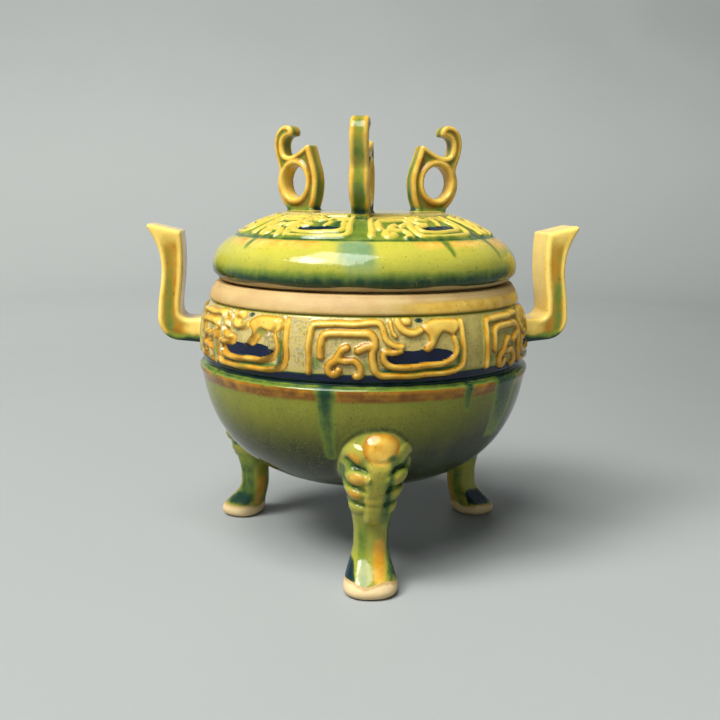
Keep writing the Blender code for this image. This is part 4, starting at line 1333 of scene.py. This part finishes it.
def glaze(name, light, deep):
    """Lead glazes over pale clay, laid by the layers kept on the piece's points."""
    net = Network(name)
    broad = net.noise(110.0, 1.5)
    wobble = net.noise(320.0, 1.5)
    fine = net.noise(1100.0, 2.0)
    speck = net.noise(2700.0, 1.0)
    mottle = net.noise(190.0, 3.0)
    runs = net.noise(1.0, 2.0, net.stretched((380.0, 380.0, 50.0)))

    def mask(layer, *noises):
        """A layer with its edge broken up by noises."""
        return net.wavering(net.layer(layer), noises)

    # Towards the deep colour where the depth layer is high: painted shade on the bowl's belly,
    # thicker glaze on the lid and at the leg roots
    base = net.mix(mask("depth", (broad, 0.35), (runs, 0.20)), light, deep)
    base = net.coat(base, fine, 0.45, 0.80, deep, 0.22)
    base = net.mix(net.layer("olive"), base, OLIVE)
    base = net.coat(base, mask("pale", (wobble, 0.3), (fine, 0.25)), 0.25, 0.85, CREAM)
    stain = net.step(net.wavering(fine, ((mottle, 0.8), (speck, 0.7))), 0.44, 0.70, 0.0, 0.72)
    base = net.mix(net.times(stain, net.layer("pale")), base, STAIN)

    # The crest layer takes the amber from dark brown through gold to honey: partly glaze thin over
    # raised parts, partly painted shade at edges and painted highlight on tops
    crest = mask("crest", (wobble, 0.35), (mottle, 0.70))
    amber = net.mix(net.step(crest, 0.05, 0.50), AMBERS[0], AMBERS[1])
    amber = net.coat(amber, crest, 0.45, 1.0, AMBERS[2])
    amber = net.coat(amber, crest, 0.95, 1.35, AMBERS[3])
    shade = net.step(mask("amber", (wobble, 0.22), (broad, 0.2)), 0.22, 0.70)
    surface = net.mix(shade, base, amber)

    green = mask("green", (wobble, 0.20), (runs, 0.35), (mottle, 0.45))
    surface = net.coat(surface, green, 0.18, 0.60, GREENS[0])
    surface = net.coat(surface, green, 0.50, 1.0, GREENS[1])
    surface = net.coat(surface, net.layer("jade"), 0.10, 0.90, JADE, 0.85)
    cells = {"Vector": net.place, "Scale": 430.0}
    edge = net.node("ShaderNodeTexVoronoi", "Distance", {"feature": "DISTANCE_TO_EDGE"}, cells)
    crackle = net.times(net.step(edge, 0.0, 0.04, 0.22, 0.0), net.step(broad, 0.45, 0.65))
    surface = net.mix(crackle, surface, CRACKLE)
    cobalt = mask("cobalt", (wobble, 0.22), (mottle, 0.35), (speck, 0.22))
    surface = net.coat(surface, cobalt, 0.28, 0.55, COBALTS[0])
    surface = net.coat(surface, cobalt, 0.52, 0.82, COBALTS[1])
    worn = mask("pale", (speck, 1.1), (wobble, 0.4))
    surface = net.coat(surface, worn, 0.85, 1.15, WEATHERED, 0.60)
    surface = net.coat(surface, net.noise(1500.0, 0.0), 0.76, 0.82, PIT, 0.6)

    clay = net.mix(net.step(broad, 0.35, 0.68), *CLAYS)
    clay = net.mix(net.layer("pale"), clay, PALE_CLAY)
    clay = net.coat(clay, speck, 0.62, 0.80, CLAY_SPECK, 0.35)
    wash = mask("amber", (wobble, 0.35), (broad, 0.3))
    clay = net.coat(clay, wash, 0.25, 0.85, CLAY_WASH, 0.85)
    bare = net.step(mask("bare", (wobble, 0.15), (fine, 0.12)), 0.35, 0.65)
    net.put(net.shader.inputs["Base Color"], net.mix(bare, surface, clay))

    gloss = net.step(fine, 0.3, 0.8, 0.07, 0.16)
    rough = net.step(bare, 0.0, 1.0, 0.0, 0.45)
    net.put(net.shader.inputs["Roughness"], net.plus(gloss, rough))
    net.shader.inputs["IOR"].default_value = 1.5
    net.shader.inputs["Specular IOR Level"].default_value = 0.27

    skin = net.plus(net.times(wobble, 0.00008), net.times(fine, 0.00003))
    height = net.plus(skin, net.times(net.times(speck, 0.00010), bare))
    relief = {"Strength": 1.0, "Distance": 1.0, "Height": height}
    net.put(net.shader.inputs["Normal"], net.node("ShaderNodeBump", "Normal", None, relief))
    return net.material


def cove_paper():
    """Pale paper, with painted light low on the wall behind and painted shade to the right."""
    net = Network("paper")
    paper = net.mix(net.step(net.noise(2.0, 1.0), 0.3, 0.7), *PAPERS)
    aside, behind, up = (
        net.node("ShaderNodeSeparateXYZ", axis, None, {0: net.place}) for axis in range(3)
    )
    # Painted light low on the wall behind
    painted_light = net.times(net.step(behind, 0.25, 0.85), net.step(up, 0.14, 0.42, 1.0, 0.0))
    paper = net.mix(painted_light, paper, PAPER_PAINTED_LIGHT)
    # Painted shade to the right, towards the back and higher up on the right
    fan = net.math("DIVIDE", aside, net.math("MAXIMUM", net.plus(behind, 0.38), 0.1))
    right = net.step(fan, -0.25, 0.85)
    far = net.times(right, net.step(behind, -0.05, 0.15, 0.0, 0.65))
    high = net.times(net.step(up, 0.15, 0.45, 0.0, 0.35), right)
    paper = net.mix(net.plus(far, high), paper, PAPER_PAINTED_SHADE)
    fleck = net.step(net.noise(700.0, 2.0), 0.74, 0.80, 0.0, 0.35)
    fleck = net.times(fleck, net.step(behind, 0.10, 0.40, 1.0, 0.0))
    net.put(net.shader.inputs["Base Color"], net.mix(fleck, paper, PAPER_FLECK))
    net.put(net.shader.inputs["Roughness"], net.step(net.noise(9.0, 1.0), 0.3, 0.7, 0.56, 0.62))
    net.shader.inputs["Specular IOR Level"].default_value = 0.25
    return net.material


def make_cove():
    """A plain pale floor that curves up into a plain round wall."""
    curve = [(0.4, 0.0), (FLOOR_REACH, 0.0)]
    for a in np.linspace(0.1, math.pi / 2, 14):
        height = COVE_RADIUS - COVE_RADIUS * math.cos(a)
        curve.append((FLOOR_REACH + COVE_RADIUS * math.sin(a), height))
    curve.append((FLOOR_REACH + COVE_RADIUS, COVE_TOP))
    cove = turned_mesh("cove", [ring_at(0.0, 0.0, 1)] + rings_along(curve, COVE_COUNT))
    cove.data.shade_smooth()
    cove.data.materials.append(cove_paper())
    return cove


def area_light(name, azimuth, elevation, distance, size, energy, tint):
    """A soft box that looks at the object's middle; angles in degrees, azimuth 0 in front."""
    a = math.radians(azimuth)
    e = math.radians(elevation)
    way = Vector((math.sin(a) * math.cos(e), -math.cos(a) * math.cos(e), math.sin(e)))
    lamp = bpy.data.lights.new(name, "AREA")
    lamp.shape = "RECTANGLE"
    lamp.size, lamp.size_y = size
    lamp.energy = energy
    lamp.color = tint
    light = bpy.data.objects.new(name, lamp)
    light.location = LIGHT_TARGET + way * distance
    light.rotation_euler = way.to_track_quat("Z", "Y").to_euler()
    bpy.context.scene.collection.objects.link(light)


bowl = make_bowl()
lid = make_lid()
store(bowl, bowl_layers(points_of(bowl)))
store(lid, lid_layers(points_of(lid)))
bowl.data.materials.append(glaze("bowl_glazes", *BOWL_GLAZE_AND_SHADE))
lid.data.materials.append(glaze("lid_glazes", *LID_GLAZE))
for piece, node, slot in ((bowl, "tripod_bowl", "bowl_glaze"), (lid, "lid", "lid_glaze")):
    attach(piece, "root")
    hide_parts(node)

make_cove()
for name, settings in LIGHTS.items():
    area_light(name, *settings)
world = bpy.data.worlds.new("studio")
world.use_nodes = True
background = world.node_tree.nodes["Background"]
background.inputs["Color"].default_value = WORLD_COLOUR
background.inputs["Strength"].default_value = WORLD_STRENGTH
bpy.context.scene.world = world

camera_data = bpy.data.cameras.new("camera")
camera_data.sensor_width = 36.0
camera_data.lens = CAMERA_LENS
camera_data.clip_start = 0.01
camera = bpy.data.objects.new("camera", camera_data)
camera.matrix_world = (
    Matrix.Translation(CAMERA_PLACE) @ Matrix.Rotation(CAMERA_TURN, 4, "Z")
    @ Matrix.Rotation(CAMERA_TILT, 4, "X") @ Matrix.Rotation(CAMERA_ROLL, 4, "Z")
)
bpy.context.scene.collection.objects.link(camera)
bpy.context.scene.camera = camera
bpy.context.scene.view_settings.view_transform = "Standard"
